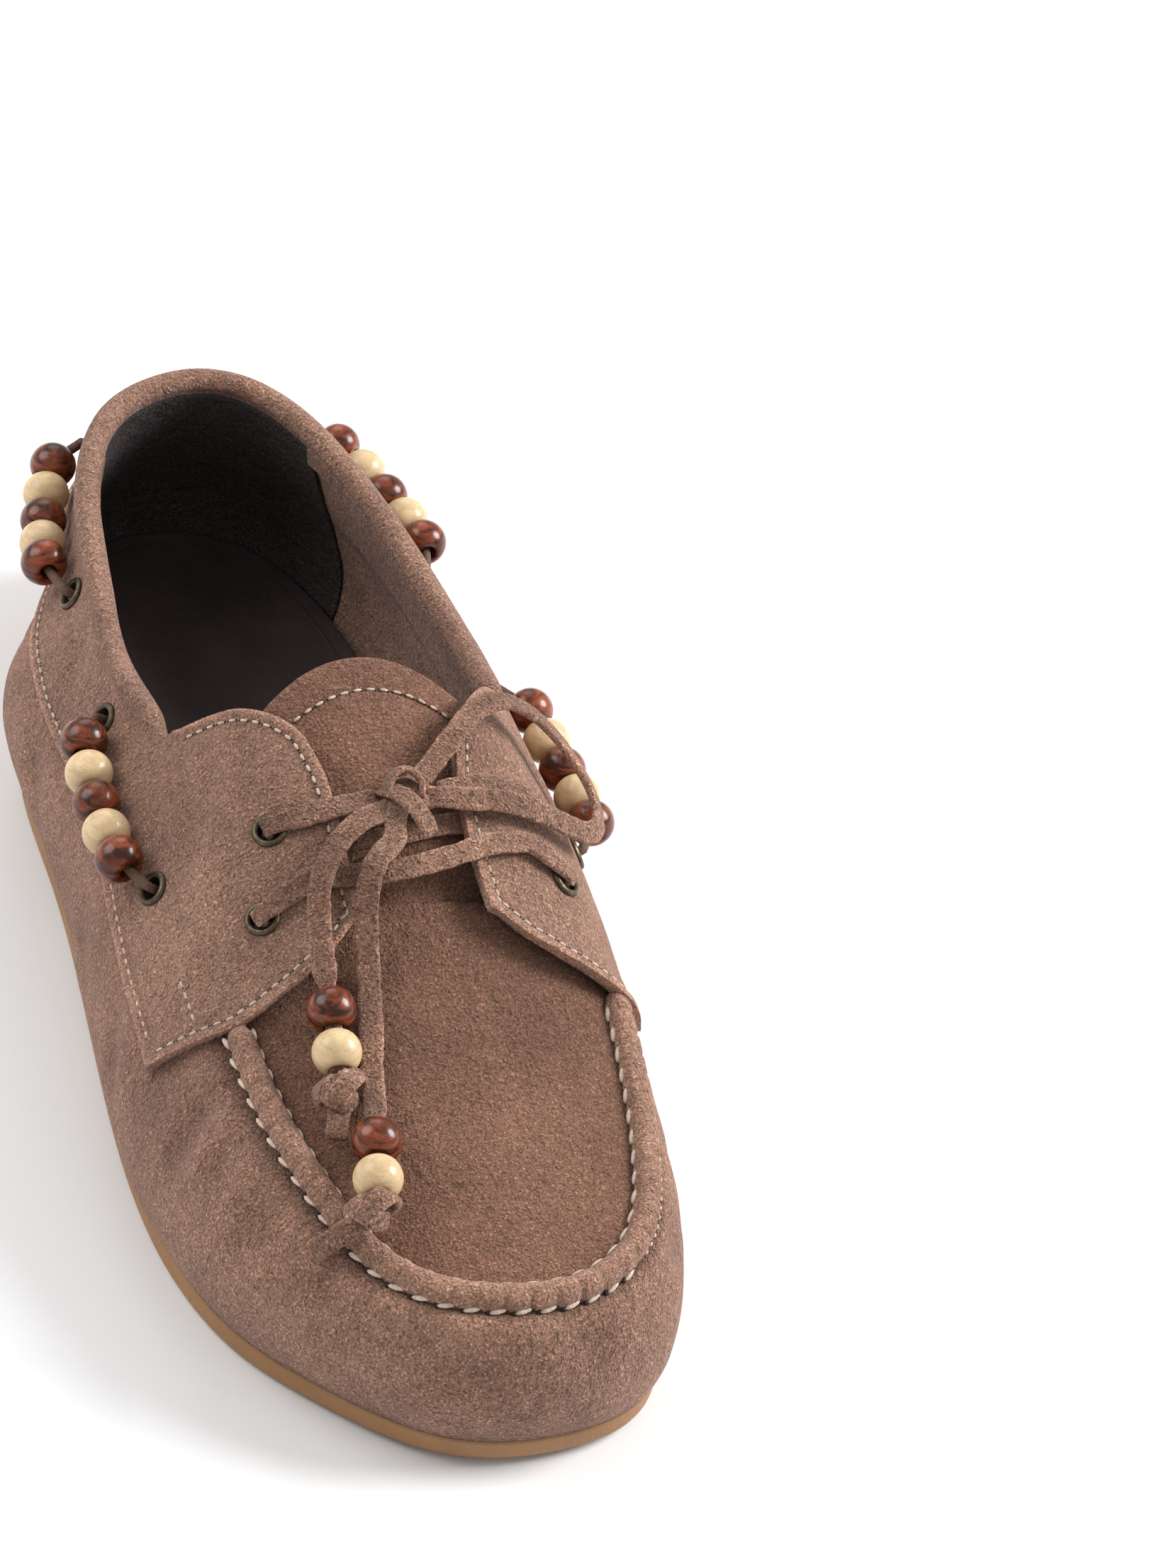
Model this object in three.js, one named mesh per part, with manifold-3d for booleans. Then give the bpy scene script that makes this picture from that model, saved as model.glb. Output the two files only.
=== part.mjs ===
// A right shoe: a soft suede moccasin with a lace, rows of wooden beads and a thin gum rubber sole.
// Millimetres, +Z up. The toe points to -Y, the big toe side is +X, and the sole stands on z = 0.
import * as THREE from "three";
import { mergeVertices } from "three/addons/utils/BufferGeometryUtils.js";
import Module from "manifold-3d";

// Driving sizes of the shoe
const LENGTH = 245; // heel to toe along the sole
const BALL_WIDTH = 90; // across the sole at the ball
const COLLAR_HEIGHT = 55.5; // floor to the collar's edge at the back of the heel
const INSTEP_RISE = 19; // tongue's crown above the throat
const BELLY = 10; // how far the soft wall swells out over the sole
const TOE_SPRING = 1.5;
const SOLE_AT_TOE = 4.5;
const SOLE_AT_HEEL = 8.5;

// Driving sizes of the leather
const GAP = 0.3; // between pieces that touch
const WALL = 2.2; // suede and lining together
const PANEL = 1.3; // quarter panel proud of the wall
const COUNTER = 0.8; // heel counter proud of the wall
const FLAP = 2.2; // free eyelet flap
const FLAP_LIFT = 3; // flaps' crown above the apron and the tongue
const APRON = 1.8;
const TONGUE = 1.8;
const TONGUE_WIDTH = 50;
const TONGUE_DROOP = 10; // sides of the tongue's top below its crown
const COLLAR_ROLL = 2.2; // radius of the padded collar edge
const RIDGE = 2.2; // radius of the moccasin ridge
const INSOLE = 2.5;
const INSOLE_LIP = 0.6; // its edge above its middle
const INSOLE_DISH = 4; // width of that raised edge

// Driving sizes of the eyelets, beads and laces
const EYELET_RADIUS = 3.3;
const EYELET_BORE = 2.1;
const EYELET_METAL = 0.4;
const EYELET_RIM = 0.6; // height of the rolled rim over the leather
const BEAD_RADIUS = 4.4;
const BEAD_LENGTH = 7.3;
const THONG_RADIUS = 0.9;
const THONG_TURN = 2.2; // height over the leather at which the thong turns from its eyelet to the beads
const THONG_RISE = 0.05; // share of the row along which it rises to them
const THONG_STEPS = 16;
const DRILL_PAST = 0.6; // eyelet holes are cut this far past the leather
const DRILL_OVER = 3; // and from this high over it
const LACE_WIDTH = 4.4;
const LACE_THICKNESS = 1.4;
const LACE_IN_BEAD = 2.2; // width of the lace where it is drawn through a bead
const LACE_GATHER = 3.3; // length over which it narrows on each side of the bead
const LACE_TILT = 0.37; // slope of the instep that the laces lie on
const LACE_TURN = 0.025; // how fast they turn outwards away from its middle, a millimetre

const END_STEPS = 3; // facets between two rows of the last, round the heel and the toe
const SIDE_STEPS = 2; // and along the sides
const RING_SIDES = 8; // facets round an eyelet, a bead and a knot
const STRIP_STEP = 5; // length of a facet along a bar or the loop
const END_STEP = 3; // and along a lace end
const WALL_HEIGHTS = [0, 0.15, 0.3, 0.48, 0.66, 0.84, 1];
const LINING_HEIGHTS = [1, 0.7, 0.35, 0];

// The last, a row for each section from the heel round the outer side to the toe and back.
// Each column holds shares of the size that stands under its name in UNITS.
const UNITS = {
  footX: BALL_WIDTH,
  footY: LENGTH,
  rimX: BALL_WIDTH,
  rimY: LENGTH,
  rimZ: COLLAR_HEIGHT,
  bellyOut: BELLY,
  bellyUp: COLLAR_HEIGHT,
  topOut: BELLY,
  topDown: COLLAR_HEIGHT,
  crown: INSTEP_RISE,
};
const ROWS = [
  // section, footX, footY, rimX, rimY, rimZ, bellyOut, bellyUp, topOut, topDown, crown
  ["heel back", 0, 0.5, 0, 0.463, 1, 0.5, 0.25, 0.3, 0.36, 0],
  ["heel outer", -0.17, 0.48, -0.165, 0.445, 0.98, 0.5, 0.25, 0.1, 0.36, 0],
  ["heel side outer", -0.27, 0.425, -0.27, 0.395, 0.955, 0.4, 0.25, 0, 0.325, 0],
  ["counter outer", -0.36, 0.345, -0.33, 0.325, 0.93, 0.7, 0.25, -0.1, 0.29, 0],
  ["quarter outer", -0.45, 0.255, -0.355, 0.245, 0.9, 1.4, 0.25, 0.4, 0.25, 0.2],
  ["waist outer", -0.465, 0.145, -0.375, 0.155, 0.89, 1.2, 0.25, 0.5, 0.25, 0.7],
  ["throat outer", -0.48, 0.04, -0.355, 0.05, 0.92, 1, 0.25, 0.8, 0.22, 1],
  ["instep outer", -0.51, -0.075, -0.385, -0.08, 0.84, 0.9, 0.235, 0.8, 0.22, 0.74],
  ["back ball outer", -0.53, -0.185, -0.385, -0.188, 0.74, 0.9, 0.215, 0.9, 0.14, 0.47],
  ["ball outer", -0.515, -0.28, -0.365, -0.278, 0.675, 0.8, 0.2, 1.1, 0.07, 0.34],
  ["toe side outer", -0.45, -0.36, -0.32, -0.35, 0.63, 0.7, 0.18, 1.1, 0.035, 0.25],
  ["toe corner outer", -0.335, -0.42, -0.25, -0.412, 0.585, 0.6, 0.18, 0.9, 0.02, 0.16],
  ["toe front outer", -0.17, -0.478, -0.135, -0.45, 0.57, 0.6, 0.18, 0.8, 0.02, 0.08],
  ["toe tip", 0.01, -0.5, 0.02, -0.463, 0.57, 0.6, 0.18, 0.8, 0.02, 0],
  ["toe front inner", 0.2, -0.491, 0.165, -0.453, 0.57, 0.6, 0.18, 0.7, 0.02, 0.08],
  ["toe corner inner", 0.335, -0.455, 0.29, -0.412, 0.585, 0.5, 0.18, 0.7, 0.02, 0.16],
  ["toe side inner", 0.415, -0.38, 0.355, -0.343, 0.62, 0.5, 0.18, 0.7, 0.035, 0.25],
  ["ball inner", 0.445, -0.29, 0.385, -0.27, 0.675, 0.5, 0.2, 0.6, 0.07, 0.34],
  ["back ball inner", 0.46, -0.185, 0.4, -0.188, 0.74, 0.45, 0.215, 0.6, 0.14, 0.47],
  ["instep inner", 0.44, -0.075, 0.395, -0.075, 0.84, 0.8, 0.235, 0.75, 0.22, 0.74],
  ["throat inner", 0.4, 0.04, 0.365, 0.057, 0.93, 0.9, 0.25, 0.7, 0.22, 1],
  ["waist inner", 0.365, 0.145, 0.365, 0.155, 0.89, 0.9, 0.25, 0.4, 0.25, 0.7],
  ["quarter inner", 0.365, 0.255, 0.335, 0.245, 0.9, 0.8, 0.25, 0.3, 0.25, 0.2],
  ["counter inner", 0.35, 0.345, 0.29, 0.325, 0.93, 0.8, 0.25, 0.3, 0.29, 0],
  ["heel side inner", 0.295, 0.42, 0.23, 0.395, 0.955, 0.7, 0.25, 0.3, 0.325, 0],
  ["heel inner", 0.18, 0.48, 0.14, 0.445, 0.98, 0.6, 0.25, 0.3, 0.36, 0],
];
const ROUND = ROWS.length; // stations t run from 0 to ROUND and meet at the heel
const THROAT = 6;
const TOE = 13;

// Quarter panel with its free eyelet flap, on the outer side. Height 1 is the rim, and what is
// over 1 goes on over the instep, to 2 at the shoe's middle.
const PANEL_FOOT = 0.58;
const FLAP_TOP = [
  // station, height
  [5.9, 0.98],
  [6.05, 1.12],
  [6.15, 1.34],
  [6.35, 1.54],
  [6.55, 1.68],
  [6.85, 1.75],
  [7.2, 1.77],
  [7.75, 1.76],
];
const FLAP_FRONT = [
  // share of the way up, station
  [0, 8.04],
  [0.2, 8.16],
  [0.36, 8.24],
  [0.55, 8.2],
  [0.74, 8.1],
  [0.9, 7.95],
  [1, 7.75],
];
// Where the eyelets are set: station, height on the face. Bead rows are alike on both sides.
const LACE_EYELETS = {
  outer_upper: [7.03, 1.47],
  outer_lower: [7.55, 1.35],
  inner_upper: [ROUND - 6.95, 1.42],
  inner_lower: [ROUND - 7.42, 1.29],
};
const BEAD_ROWS = {
  // row: station of its two eyelets, their height, and the height that the middle bead sags to
  front: { from: 5.35, to: 6.84, high: 0.82, low: 0.72 },
  heel: { from: 1.4, to: 3.82, high: 0.84, low: 0.78 },
};
const BEADS_IN_ROW = 5;

// Bow and lace ends, laid by hand. Each list is the middle line of the lace.
const LACE_LINES = {
  bar_lower: [
    [-23.3, -34.4, 55.4],
    [-18.6, -33.4, 57.9],
    [-12, -34, 59.2],
    [-5, -34.3, 59.7],
    [2, -33.3, 60],
    [8, -32, 60.4],
    [14.5, -30.4, 60.8],
    [19.5, -29.3, 60],
    [24, -28.8, 58.4],
    [27.3, -29, 56.4],
  ],
  bar_under: [
    [-17, -27, 55.6],
    [-12, -26.5, 57.1],
    [-6, -25.5, 58.7],
    [0, -24.5, 59.5],
    [6, -23.5, 59.8],
    [12, -22.5, 59.2],
    [17, -21.5, 57.6],
  ],
  bar_upper_outer: [
    [-21.5, -20.6, 62.2],
    [-17.5, -21.5, 62.6],
    [-12, -21.5, 64.1],
    [-7.5, -21, 64.4],
    [-4.2, -20.6, 64.4],
  ],
  bar_upper_inner: [
    [8.2, -20, 64.8],
    [12, -19.5, 65],
    [17, -18.5, 64.5],
    [21.5, -17.6, 62.9],
  ],
  loop: [
    [6.5, -15.6, 65.6],
    [10.5, -12, 67.5],
    [14, -8.8, 68.9],
    [17.5, -5.2, 69.4],
    [21.4, -2.6, 69.4],
    [24.8, -1.6, 69],
    [28.2, -1.6, 67.4],
    [32, -2, 64.8],
    [35.6, -3.9, 61.6],
    [38, -5.8, 59],
    [39.8, -8.4, 56.8],
    [41, -11.6, 55],
    [41.3, -15.4, 53.6],
    [40.2, -19.2, 53.2],
    [37.6, -21.8, 54],
    [34, -22.4, 56],
    [30.2, -22.4, 58.4],
    [26, -22.6, 61],
    [21, -22.8, 63.4],
    [16, -23.4, 65.2],
    [11.5, -23.6, 66],
    [8, -22.8, 66],
  ],
  end_outer: [
    [-3.8, -24, 65],
    [-8.2, -25.9, 64.6],
    [-12.8, -29, 63],
    [-16.4, -33.6, 61.5],
    [-18.6, -38, 59.4],
    [-19.3, -42, 57.1],
    [-19.8, -46, 54.9],
    [-20, -50, 52.6],
    [-20.4, -57.5, 49.6],
    [-21.3, -65.5, 47.1],
    [-21.8, -69.2, 46],
  ],
  end_inner: [
    [0.8, -26.6, 64.2],
    [-3.2, -30.2, 63.3],
    [-7.4, -34.2, 62.4],
    [-10, -39, 59.2],
    [-10.9, -44, 55],
    [-11.4, -49, 50.8],
    [-12.6, -56, 47.9],
    [-14, -63, 45.6],
    [-15.6, -70, 43.8],
    [-17.1, -76.8, 43.9],
    [-18.8, -84, 43.2],
    [-20.6, -91.8, 42],
    [-21.6, -95.8, 41.3],
  ],
  tail_outer: [
    [-22.7, -74.2, 43.2],
    [-23.5, -77, 41.6],
    [-24.2, -79.6, 40],
  ],
  tail_inner: [
    [-24.5, -98.8, 39.4],
    [-27.6, -99, 37.3],
    [-30.2, -98.6, 34.6],
    [-32, -97.6, 31.8],
  ],
};
const END_BEADS = {
  // beads threaded on each lace end, and the knot that holds them
  outer: { dark: [-20.4, -57.5, 49.6], pale: [-21.3, -65.5, 47.1], knot: [-22.4, -73.4, 44] },
  inner: { dark: [-18.8, -84, 43.2], pale: [-20.6, -91.8, 42], knot: [-23.4, -98.6, 40] },
};
const KNOT_MIDDLE = [2, -20.4, 64.3];
const KNOT_SIZE = [11, 9, 6.2];
const END_KNOT_SIZE = [7, 6.4, 6.2];

const PANEL_TURN = 4; // station where the panel's rows start to slant towards the flap
const APRON_BACK = 7.6;
const TONGUE_FRONT = 7.8;
const TONGUE_TOP = 6.05;
const TONGUE_ROUNDING = 0.36; // stations that the top's corners fall back by
const TONGUE_FREE = 7.4; // station from where its sides droop
const TONGUE_FREEING = 1.2; // stations over which they do
const TONGUE_TUCK = 7.5; // station where it dips under the apron
const TONGUE_TUCKING = 0.35; // stations over which it does
const COUNTER_SIDE = 5 / 3; // station of the counter's upright seam

const SUEDE = new THREE.MeshStandardMaterial({ name: "suede", color: 0x7d6557, roughness: 0.95 });
const SUEDE_TONGUE = new THREE.MeshStandardMaterial({ name: "tongue suede", color: 0x75564a, roughness: 0.95 });
const GUM = new THREE.MeshStandardMaterial({ name: "gum rubber", color: 0x9a6b3f, roughness: 0.6 });
const BRASS = new THREE.MeshStandardMaterial({ name: "aged brass", color: 0x6b5a38, roughness: 0.4, metalness: 0.9 });
const DARK_WOOD = new THREE.MeshStandardMaterial({ name: "red-brown wood", color: 0x5e2413, roughness: 0.25 });
const PALE_WOOD = new THREE.MeshStandardMaterial({ name: "pale wood", color: 0xd9bf8c, roughness: 0.4 });
const THONG = new THREE.MeshStandardMaterial({ name: "brown thong", color: 0x5a3a28, roughness: 0.8 });
const FOOTBED = new THREE.MeshStandardMaterial({ name: "footbed", color: 0x35231e, roughness: 0.85 });

const wasm = await Module();
wasm.setup();

const shoe = new THREE.Group();
const vec = (x, y, z) => new THREE.Vector3(x, y, z);
const steps = (from, to, count) => Array.from({ length: count + 1 }, (_, i) => from + ((to - from) * i) / count);
const ease = (x) => THREE.MathUtils.smoothstep(x, 0, 1);
const lerp = THREE.MathUtils.lerp;

// The value at x of a short table of two columns, in straight lines
function lookUp(table, x) {
  const after = table.findIndex(([at]) => at > x);
  if (after === 0) return table[0][1];
  if (after < 0) return table.at(-1)[1];
  const [[x0, y0], [x1, y1]] = table.slice(after - 1, after + 1);
  return lerp(y0, y1, (x - x0) / (x1 - x0));
}

// Slopes that make a smooth closed curve through the values
function closedSlopes(values) {
  const n = values.length;
  const slopes = values.map(() => 0);
  for (let sweep = 0; sweep < 40; sweep++)
    for (let i = 0; i < n; i++) {
      const before = (i + n - 1) % n;
      const after = (i + 1) % n;
      slopes[i] = (3 * (values[after] - values[before]) - slopes[before] - slopes[after]) / 4;
    }
  return slopes;
}

const COLUMNS = Object.fromEntries(
  Object.entries(UNITS).map(([name, unit], column) => {
    const values = ROWS.map((row) => row[column + 1] * unit);
    return [name, { values, slopes: closedSlopes(values) }];
  }),
);

// One measure of the last at station t
function measure(name, t) {
  const { values, slopes } = COLUMNS[name];
  const wrapped = THREE.MathUtils.euclideanModulo(t, ROUND);
  const i = Math.floor(wrapped) % ROUND;
  const j = (i + 1) % ROUND;
  const s = wrapped - Math.floor(wrapped);
  return (
    (2 * s ** 3 - 3 * s ** 2 + 1) * values[i] +
    (s ** 3 - 2 * s ** 2 + s) * slopes[i] +
    (3 * s ** 2 - 2 * s ** 3) * values[j] +
    (s ** 3 - s ** 2) * slopes[j]
  );
}

// Sole heights at y: what the toe spring lifts, and the seat that the upper stands on
const spring = (y) => TOE_SPRING * THREE.MathUtils.clamp((-y / LENGTH - 0.305) / 0.195, 0, 1) ** 2;
const seat = (y) => lerp(SOLE_AT_TOE, SOLE_AT_HEEL, ease((y / LENGTH + 0.25) / 0.57)) + spring(y);

const foot = (t) => vec(measure("footX", t), measure("footY", t), 0);
const rim = (t) => vec(measure("rimX", t), measure("rimY", t), measure("rimZ", t));
const middleCrown = (t) => (measure("crown", t) + measure("crown", ROUND - t)) / 2;

function outward(t) {
  const along = foot(t + 0.01).sub(foot(t - 0.01));
  return vec(along.y, -along.x, 0).normalize();
}

function bezier(points, s) {
  const r = 1 - s;
  const weights = [r ** 3, 3 * r * r * s, 3 * r * s * s, s ** 3];
  return points.reduce((sum, p, i) => sum.addScaledVector(p, weights[i]), vec(0, 0, 0));
}

function wallCurve(t) {
  const out = outward(t);
  const low = foot(t).setZ(seat(measure("footY", t)) + GAP);
  const high = rim(t);
  return [
    low,
    low.clone().addScaledVector(out, measure("bellyOut", t)).add(vec(0, 0, measure("bellyUp", t))),
    high.clone().addScaledVector(out, measure("topOut", t)).sub(vec(0, 0, measure("topDown", t))),
    high,
  ];
}

// From the rim over the instep to the shoe's middle, in line with the wall below it
function archCurve(t) {
  const [, , under, edge] = wallCurve(t);
  const middle = edge.clone().lerp(rim(ROUND - t), 0.5);
  const halfWidth = Math.abs(edge.x - middle.x);
  middle.z += middleCrown(t) + FLAP_LIFT;
  const rise = middle.z - edge.z;
  const lean = edge.clone().sub(under).normalize();
  const shoulder = middle.clone().add(vec(Math.sign(edge.x - middle.x) * halfWidth * 0.5, 0, 0));
  return [edge, edge.clone().addScaledVector(lean, rise * 0.72), shoulder, middle];
}

// The upper's outer face at station t: height 0 to 1 is the wall, 1 to 2 the instep
function face(t, height) {
  return height <= 1 ? bezier(wallCurve(t), height) : bezier(archCurve(t), height - 1);
}

function faceNormal(t, height) {
  const h = Math.abs(height - 1) < 0.02 ? 0.98 : height;
  const round = face(t + 0.02, h).sub(face(t - 0.02, h));
  const up = face(t, h + 0.01).sub(face(t, h - 0.01));
  return round.cross(up).normalize();
}

const skin = (t, height, proud) => face(t, height).addScaledVector(faceNormal(t, height), proud);

// Closed solids are listed as points and triangles, then turned outwards
function solid(points, triangles) {
  const geometry = new THREE.BufferGeometry();
  geometry.setAttribute("position", new THREE.Float32BufferAttribute(points.flatMap((p) => [p.x, p.y, p.z]), 3));
  geometry.setIndex(triangles.flat());
  const merged = mergeVertices(geometry, 1e-4);
  const kept = [];
  for (let i = 0; i < merged.index.count; i += 3) {
    const [a, b, c] = [0, 1, 2].map((k) => merged.index.getX(i + k));
    if (a !== b && b !== c && c !== a) kept.push([a, b, c]);
  }
  const corner = (i) => new THREE.Vector3().fromBufferAttribute(merged.attributes.position, i);
  const volume = kept.reduce((sum, [a, b, c]) => sum + corner(a).dot(corner(b).cross(corner(c))), 0);
  merged.setIndex(kept.flatMap(([a, b, c]) => (volume > 0 ? [a, b, c] : [a, c, b])));
  return merged;
}

// Triangles of the band between two rows of points, given as lists of point numbers
function band(low, high) {
  return low.slice(1).flatMap((_, i) => [
    [low[i], low[i + 1], high[i + 1]],
    [low[i], high[i + 1], high[i]],
  ]);
}

// A thick sheet between two grids of points of the same size
function sheet(top, under) {
  const across = top[0].length;
  const number = (side, i, j) => (side * top.length + i) * across + j;
  const line = (side, i) => top[0].map((_, j) => number(side, i, j));
  const column = (side, j) => top.map((_, i) => number(side, i, j));
  const last = top.length - 1;
  const rows = top.slice(1).map((_, i) => i);
  const faces = [
    ...rows.flatMap((i) => band(line(0, i), line(0, i + 1))),
    ...rows.flatMap((i) => band(line(1, i + 1), line(1, i))),
    ...band(line(1, 0), line(0, 0)),
    ...band(line(0, last), line(1, last)),
    ...band(column(0, 0), column(1, 0)),
    ...band(column(1, across - 1), column(0, across - 1)),
  ];
  return solid([...top.flat(), ...under.flat()], faces);
}

// Rings of points joined one to the next, closed on themselves or capped by fans
function loft(rings, closed) {
  const count = rings[0].length;
  const points = rings.flat();
  const ring = (i) => [...steps(0, count - 1, count - 1), 0].map((j) => (i % rings.length) * count + j);
  const spans = closed ? rings.length : rings.length - 1;
  const faces = steps(0, spans - 1, spans - 1).flatMap((i) => band(ring(i), ring(i + 1)));
  if (!closed)
    for (const [i, turn] of [[0, 1], [rings.length - 1, -1]]) {
      const hub = rings[i].reduce((sum, p) => sum.add(p), vec(0, 0, 0)).divideScalar(count);
      points.push(hub);
      const edge = ring(i);
      for (let j = 0; j < count; j++)
        faces.push(turn > 0 ? [points.length - 1, edge[j + 1], edge[j]] : [points.length - 1, edge[j], edge[j + 1]]);
    }
  return solid(points, faces);
}

// Level outlines stacked on each other, with rungs from side to side as floor and ceiling
function slab(outlines) {
  const count = outlines[0].length;
  const half = count / 2;
  const points = outlines.flat();
  const ring = (i) => [...steps(0, count - 1, count - 1), 0].map((j) => i * count + j);
  const faces = outlines.slice(1).flatMap((_, i) => band(ring(i), ring(i + 1)));
  const rungs = (i) => [
    steps(0, half, half).map((j) => i * count + j),
    steps(0, half, half).map((j) => i * count + ((count - j) % count)),
  ];
  const [floorOuter, floorInner] = rungs(0);
  const [roofOuter, roofInner] = rungs(outlines.length - 1);
  faces.push(...band(floorInner, floorOuter), ...band(roofOuter, roofInner));
  return solid(points, faces);
}

function toManifold(geometry) {
  return new wasm.Manifold(
    new wasm.Mesh({
      numProp: 3,
      vertProperties: geometry.attributes.position.array,
      triVerts: new Uint32Array(geometry.index.array),
    }),
  );
}

function fromManifold(made) {
  const mesh = made.getMesh();
  return new THREE.BufferGeometry()
    .setAttribute("position", new THREE.BufferAttribute(mesh.vertProperties, 3))
    .setIndex(new THREE.BufferAttribute(mesh.triVerts, 1));
}

// Joined pieces as one body, with the small pockets that they enclose filled
function join(...geometries) {
  const bodies = geometries
    .map(toManifold)
    .reduce((sum, next) => sum.add(next))
    .decompose();
  return bodies.reduce((most, body) => (body.volume() > most.volume() ? body : most));
}

function place(name, geometry, material) {
  const flat = geometry.index ? geometry.toNonIndexed() : geometry;
  flat.computeVertexNormals();
  const mesh = new THREE.Mesh(flat, material);
  mesh.name = name;
  shoe.add(mesh);
  return mesh;
}

// Stations of the facets between two rows: close together round the ends, wider along the sides
function stations(from, to) {
  const whole = steps(0, ROUND - 1, ROUND - 1).flatMap((row) => {
    const fromEnd = Math.min(row + 0.5, Math.abs(row + 0.5 - TOE), ROUND - row - 0.5);
    return steps(row, row + 1, fromEnd < 3 ? END_STEPS : SIDE_STEPS).slice(0, -1);
  });
  const turns = [-ROUND, 0, ROUND].flatMap((start) => whole.map((t) => t + start));
  return [from, ...turns.filter((t) => t > from + 0.1 && t < to - 0.1), to];
}
const around = stations(0, ROUND).slice(0, -1);

// Outsole: thin at the toe, thicker at the heel, its lower edge rounded
const SOLE_SIDE = [
  // share of the thickness, drawn in
  [0, 1.6],
  [0.12, 0.5],
  [0.35, 0],
  [0.8, 0],
  [1, 0.4],
];

function soleOutline(share, drawnIn) {
  return around.map((t) => {
    const p = foot(t).addScaledVector(outward(t), -drawnIn);
    return p.setZ(lerp(spring(p.y), seat(p.y), share));
  });
}

place("outsole", slab(SOLE_SIDE.map(([share, drawnIn]) => soleOutline(share, drawnIn))), GUM);

// Insole: fills the foot of the wall, a little raised round its edge
function insoleOutline(up, drawnIn) {
  return around.map((t) => {
    const p = foot(t).addScaledVector(outward(t), -(WALL + GAP + drawnIn));
    return p.setZ(seat(p.y) + GAP + up);
  });
}

place("insole", slab([insoleOutline(0, INSOLE_LIP), insoleOutline(INSOLE + INSOLE_LIP, 0), insoleOutline(INSOLE, INSOLE_DISH)]), FOOTBED);

// Upper: wall, apron, moccasin ridge, collar roll, heel counter and the quarter panel with its flaps
function wallRing(t) {
  return [
    ...WALL_HEIGHTS.map((height) => skin(t, height, 0)),
    ...LINING_HEIGHTS.map((height) => skin(t, height, -WALL)),
  ];
}

function apronPoint(t, u) {
  const p = rim(t).lerp(rim(ROUND - t), (1 + u) / 2);
  p.z += middleCrown(t) * (1 - u * u);
  return p;
}

function apronSheet() {
  const grid = (drop) =>
    steps(APRON_BACK, TOE - 0.4, 11).map((t) =>
      steps(-0.98, 0.98, 8).map((u) => apronPoint(t, u).sub(vec(0, 0, drop))),
    );
  return sheet(grid(0), grid(APRON));
}

// A round bead of leather along the rim
function roll(from, to, radius, sides, centre) {
  const rings = stations(from, to).map((t) => {
    const middle = centre(t);
    const along = centre(t + 0.02).sub(centre(t - 0.02)).normalize();
    const side = along.clone().cross(vec(0, 0, 1)).normalize();
    const up = side.clone().cross(along);
    return steps(0, 2 * Math.PI, sides)
      .slice(0, -1)
      .map((a) => middle.clone().addScaledVector(side, radius * Math.cos(a)).addScaledVector(up, radius * Math.sin(a)));
  });
  return loft(rings, false);
}

const ridgeCentre = (t) => rim(t).add(vec(0, 0, 0.4));
const collarCentre = (t) => skin(t, 0.97, (PANEL - WALL) / 2);

// Height on the panel: way 0 is its stitched foot, way 1 its top or the flap's free edge
const panelHeight = (t, way) => lerp(PANEL_FOOT, lookUp(FLAP_TOP, t), way);

// The panel runs from the inner flap's front round the heel to the outer flap's front
function panelSheet() {
  const side = (way) => steps(PANEL_TURN, lookUp(FLAP_FRONT, way), 10);
  const heel = stations(-PANEL_TURN, PANEL_TURN).slice(1, -1);
  const line = (way) => [...side(way).map((t) => -t).reverse(), ...heel, ...side(way)];
  const lines = steps(0, 1, 6).map((way) => line(way).map((t) => [t, panelHeight(Math.abs(t), way)]));
  const grid = (proud) => lines.map((points) => points.map(([t, height]) => skin(t, height, proud)));
  return sheet(grid(PANEL), grid(PANEL - FLAP));
}

function counterSheet() {
  const grid = (proud) =>
    stations(-COUNTER_SIDE, COUNTER_SIDE).map((t) =>
      steps(0.02, PANEL_FOOT + 0.04, 3).map((height) => skin(t, height, proud)),
    );
  return sheet(grid(COUNTER), grid(-WALL / 2));
}

// A frame on the upper's face: the point, and a turn that stands +Z on the leather
function faceFrame(t, height, proud) {
  const up = faceNormal(t, height);
  const turn = new THREE.Quaternion().setFromUnitVectors(vec(0, 0, 1), up);
  return new THREE.Matrix4().compose(skin(t, height, proud), turn, vec(1, 1, 1));
}

const rowEyelets = Object.entries(BEAD_ROWS).flatMap(([row, { from, to, high }]) => [
  [`${row}_outer_toe`, to, high],
  [`${row}_outer_heel`, from, high],
  [`${row}_inner_toe`, ROUND - to, high],
  [`${row}_inner_heel`, ROUND - from, high],
]);
const laceEyelets = Object.entries(LACE_EYELETS).map(([name, spot]) => [`lace_${name}`, ...spot]);
const eyelets = [
  ...rowEyelets.map(([name, t, height]) => ({ name, t, height, leather: WALL + PANEL })),
  ...laceEyelets.map(([name, t, height]) => ({ name, t, height, leather: FLAP })),
];
const HOLE_RADIUS = EYELET_BORE + EYELET_METAL + GAP;

function eyeletHole({ t, height, leather }) {
  const below = leather + DRILL_PAST;
  const drill = new THREE.CylinderGeometry(HOLE_RADIUS, HOLE_RADIUS, DRILL_OVER + below, RING_SIDES)
    .rotateX(Math.PI / 2)
    .translate(0, 0, (DRILL_OVER - below) / 2)
    .applyMatrix4(faceFrame(t, height, PANEL));
  drill.deleteAttribute("normal");
  drill.deleteAttribute("uv");
  return mergeVertices(drill, 1e-4);
}

const leather = join(
  loft(around.map(wallRing), true),
  apronSheet(),
  roll(8, 18, RIDGE, 6, ridgeCentre),
  roll(-THROAT, THROAT, COLLAR_ROLL, 6, collarCentre),
  counterSheet(),
  panelSheet(),
);
const upper = eyelets.reduce((made, eyelet) => made.subtract(toManifold(eyeletHole(eyelet))), leather);
place("upper", fromManifold(upper), SUEDE);

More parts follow.
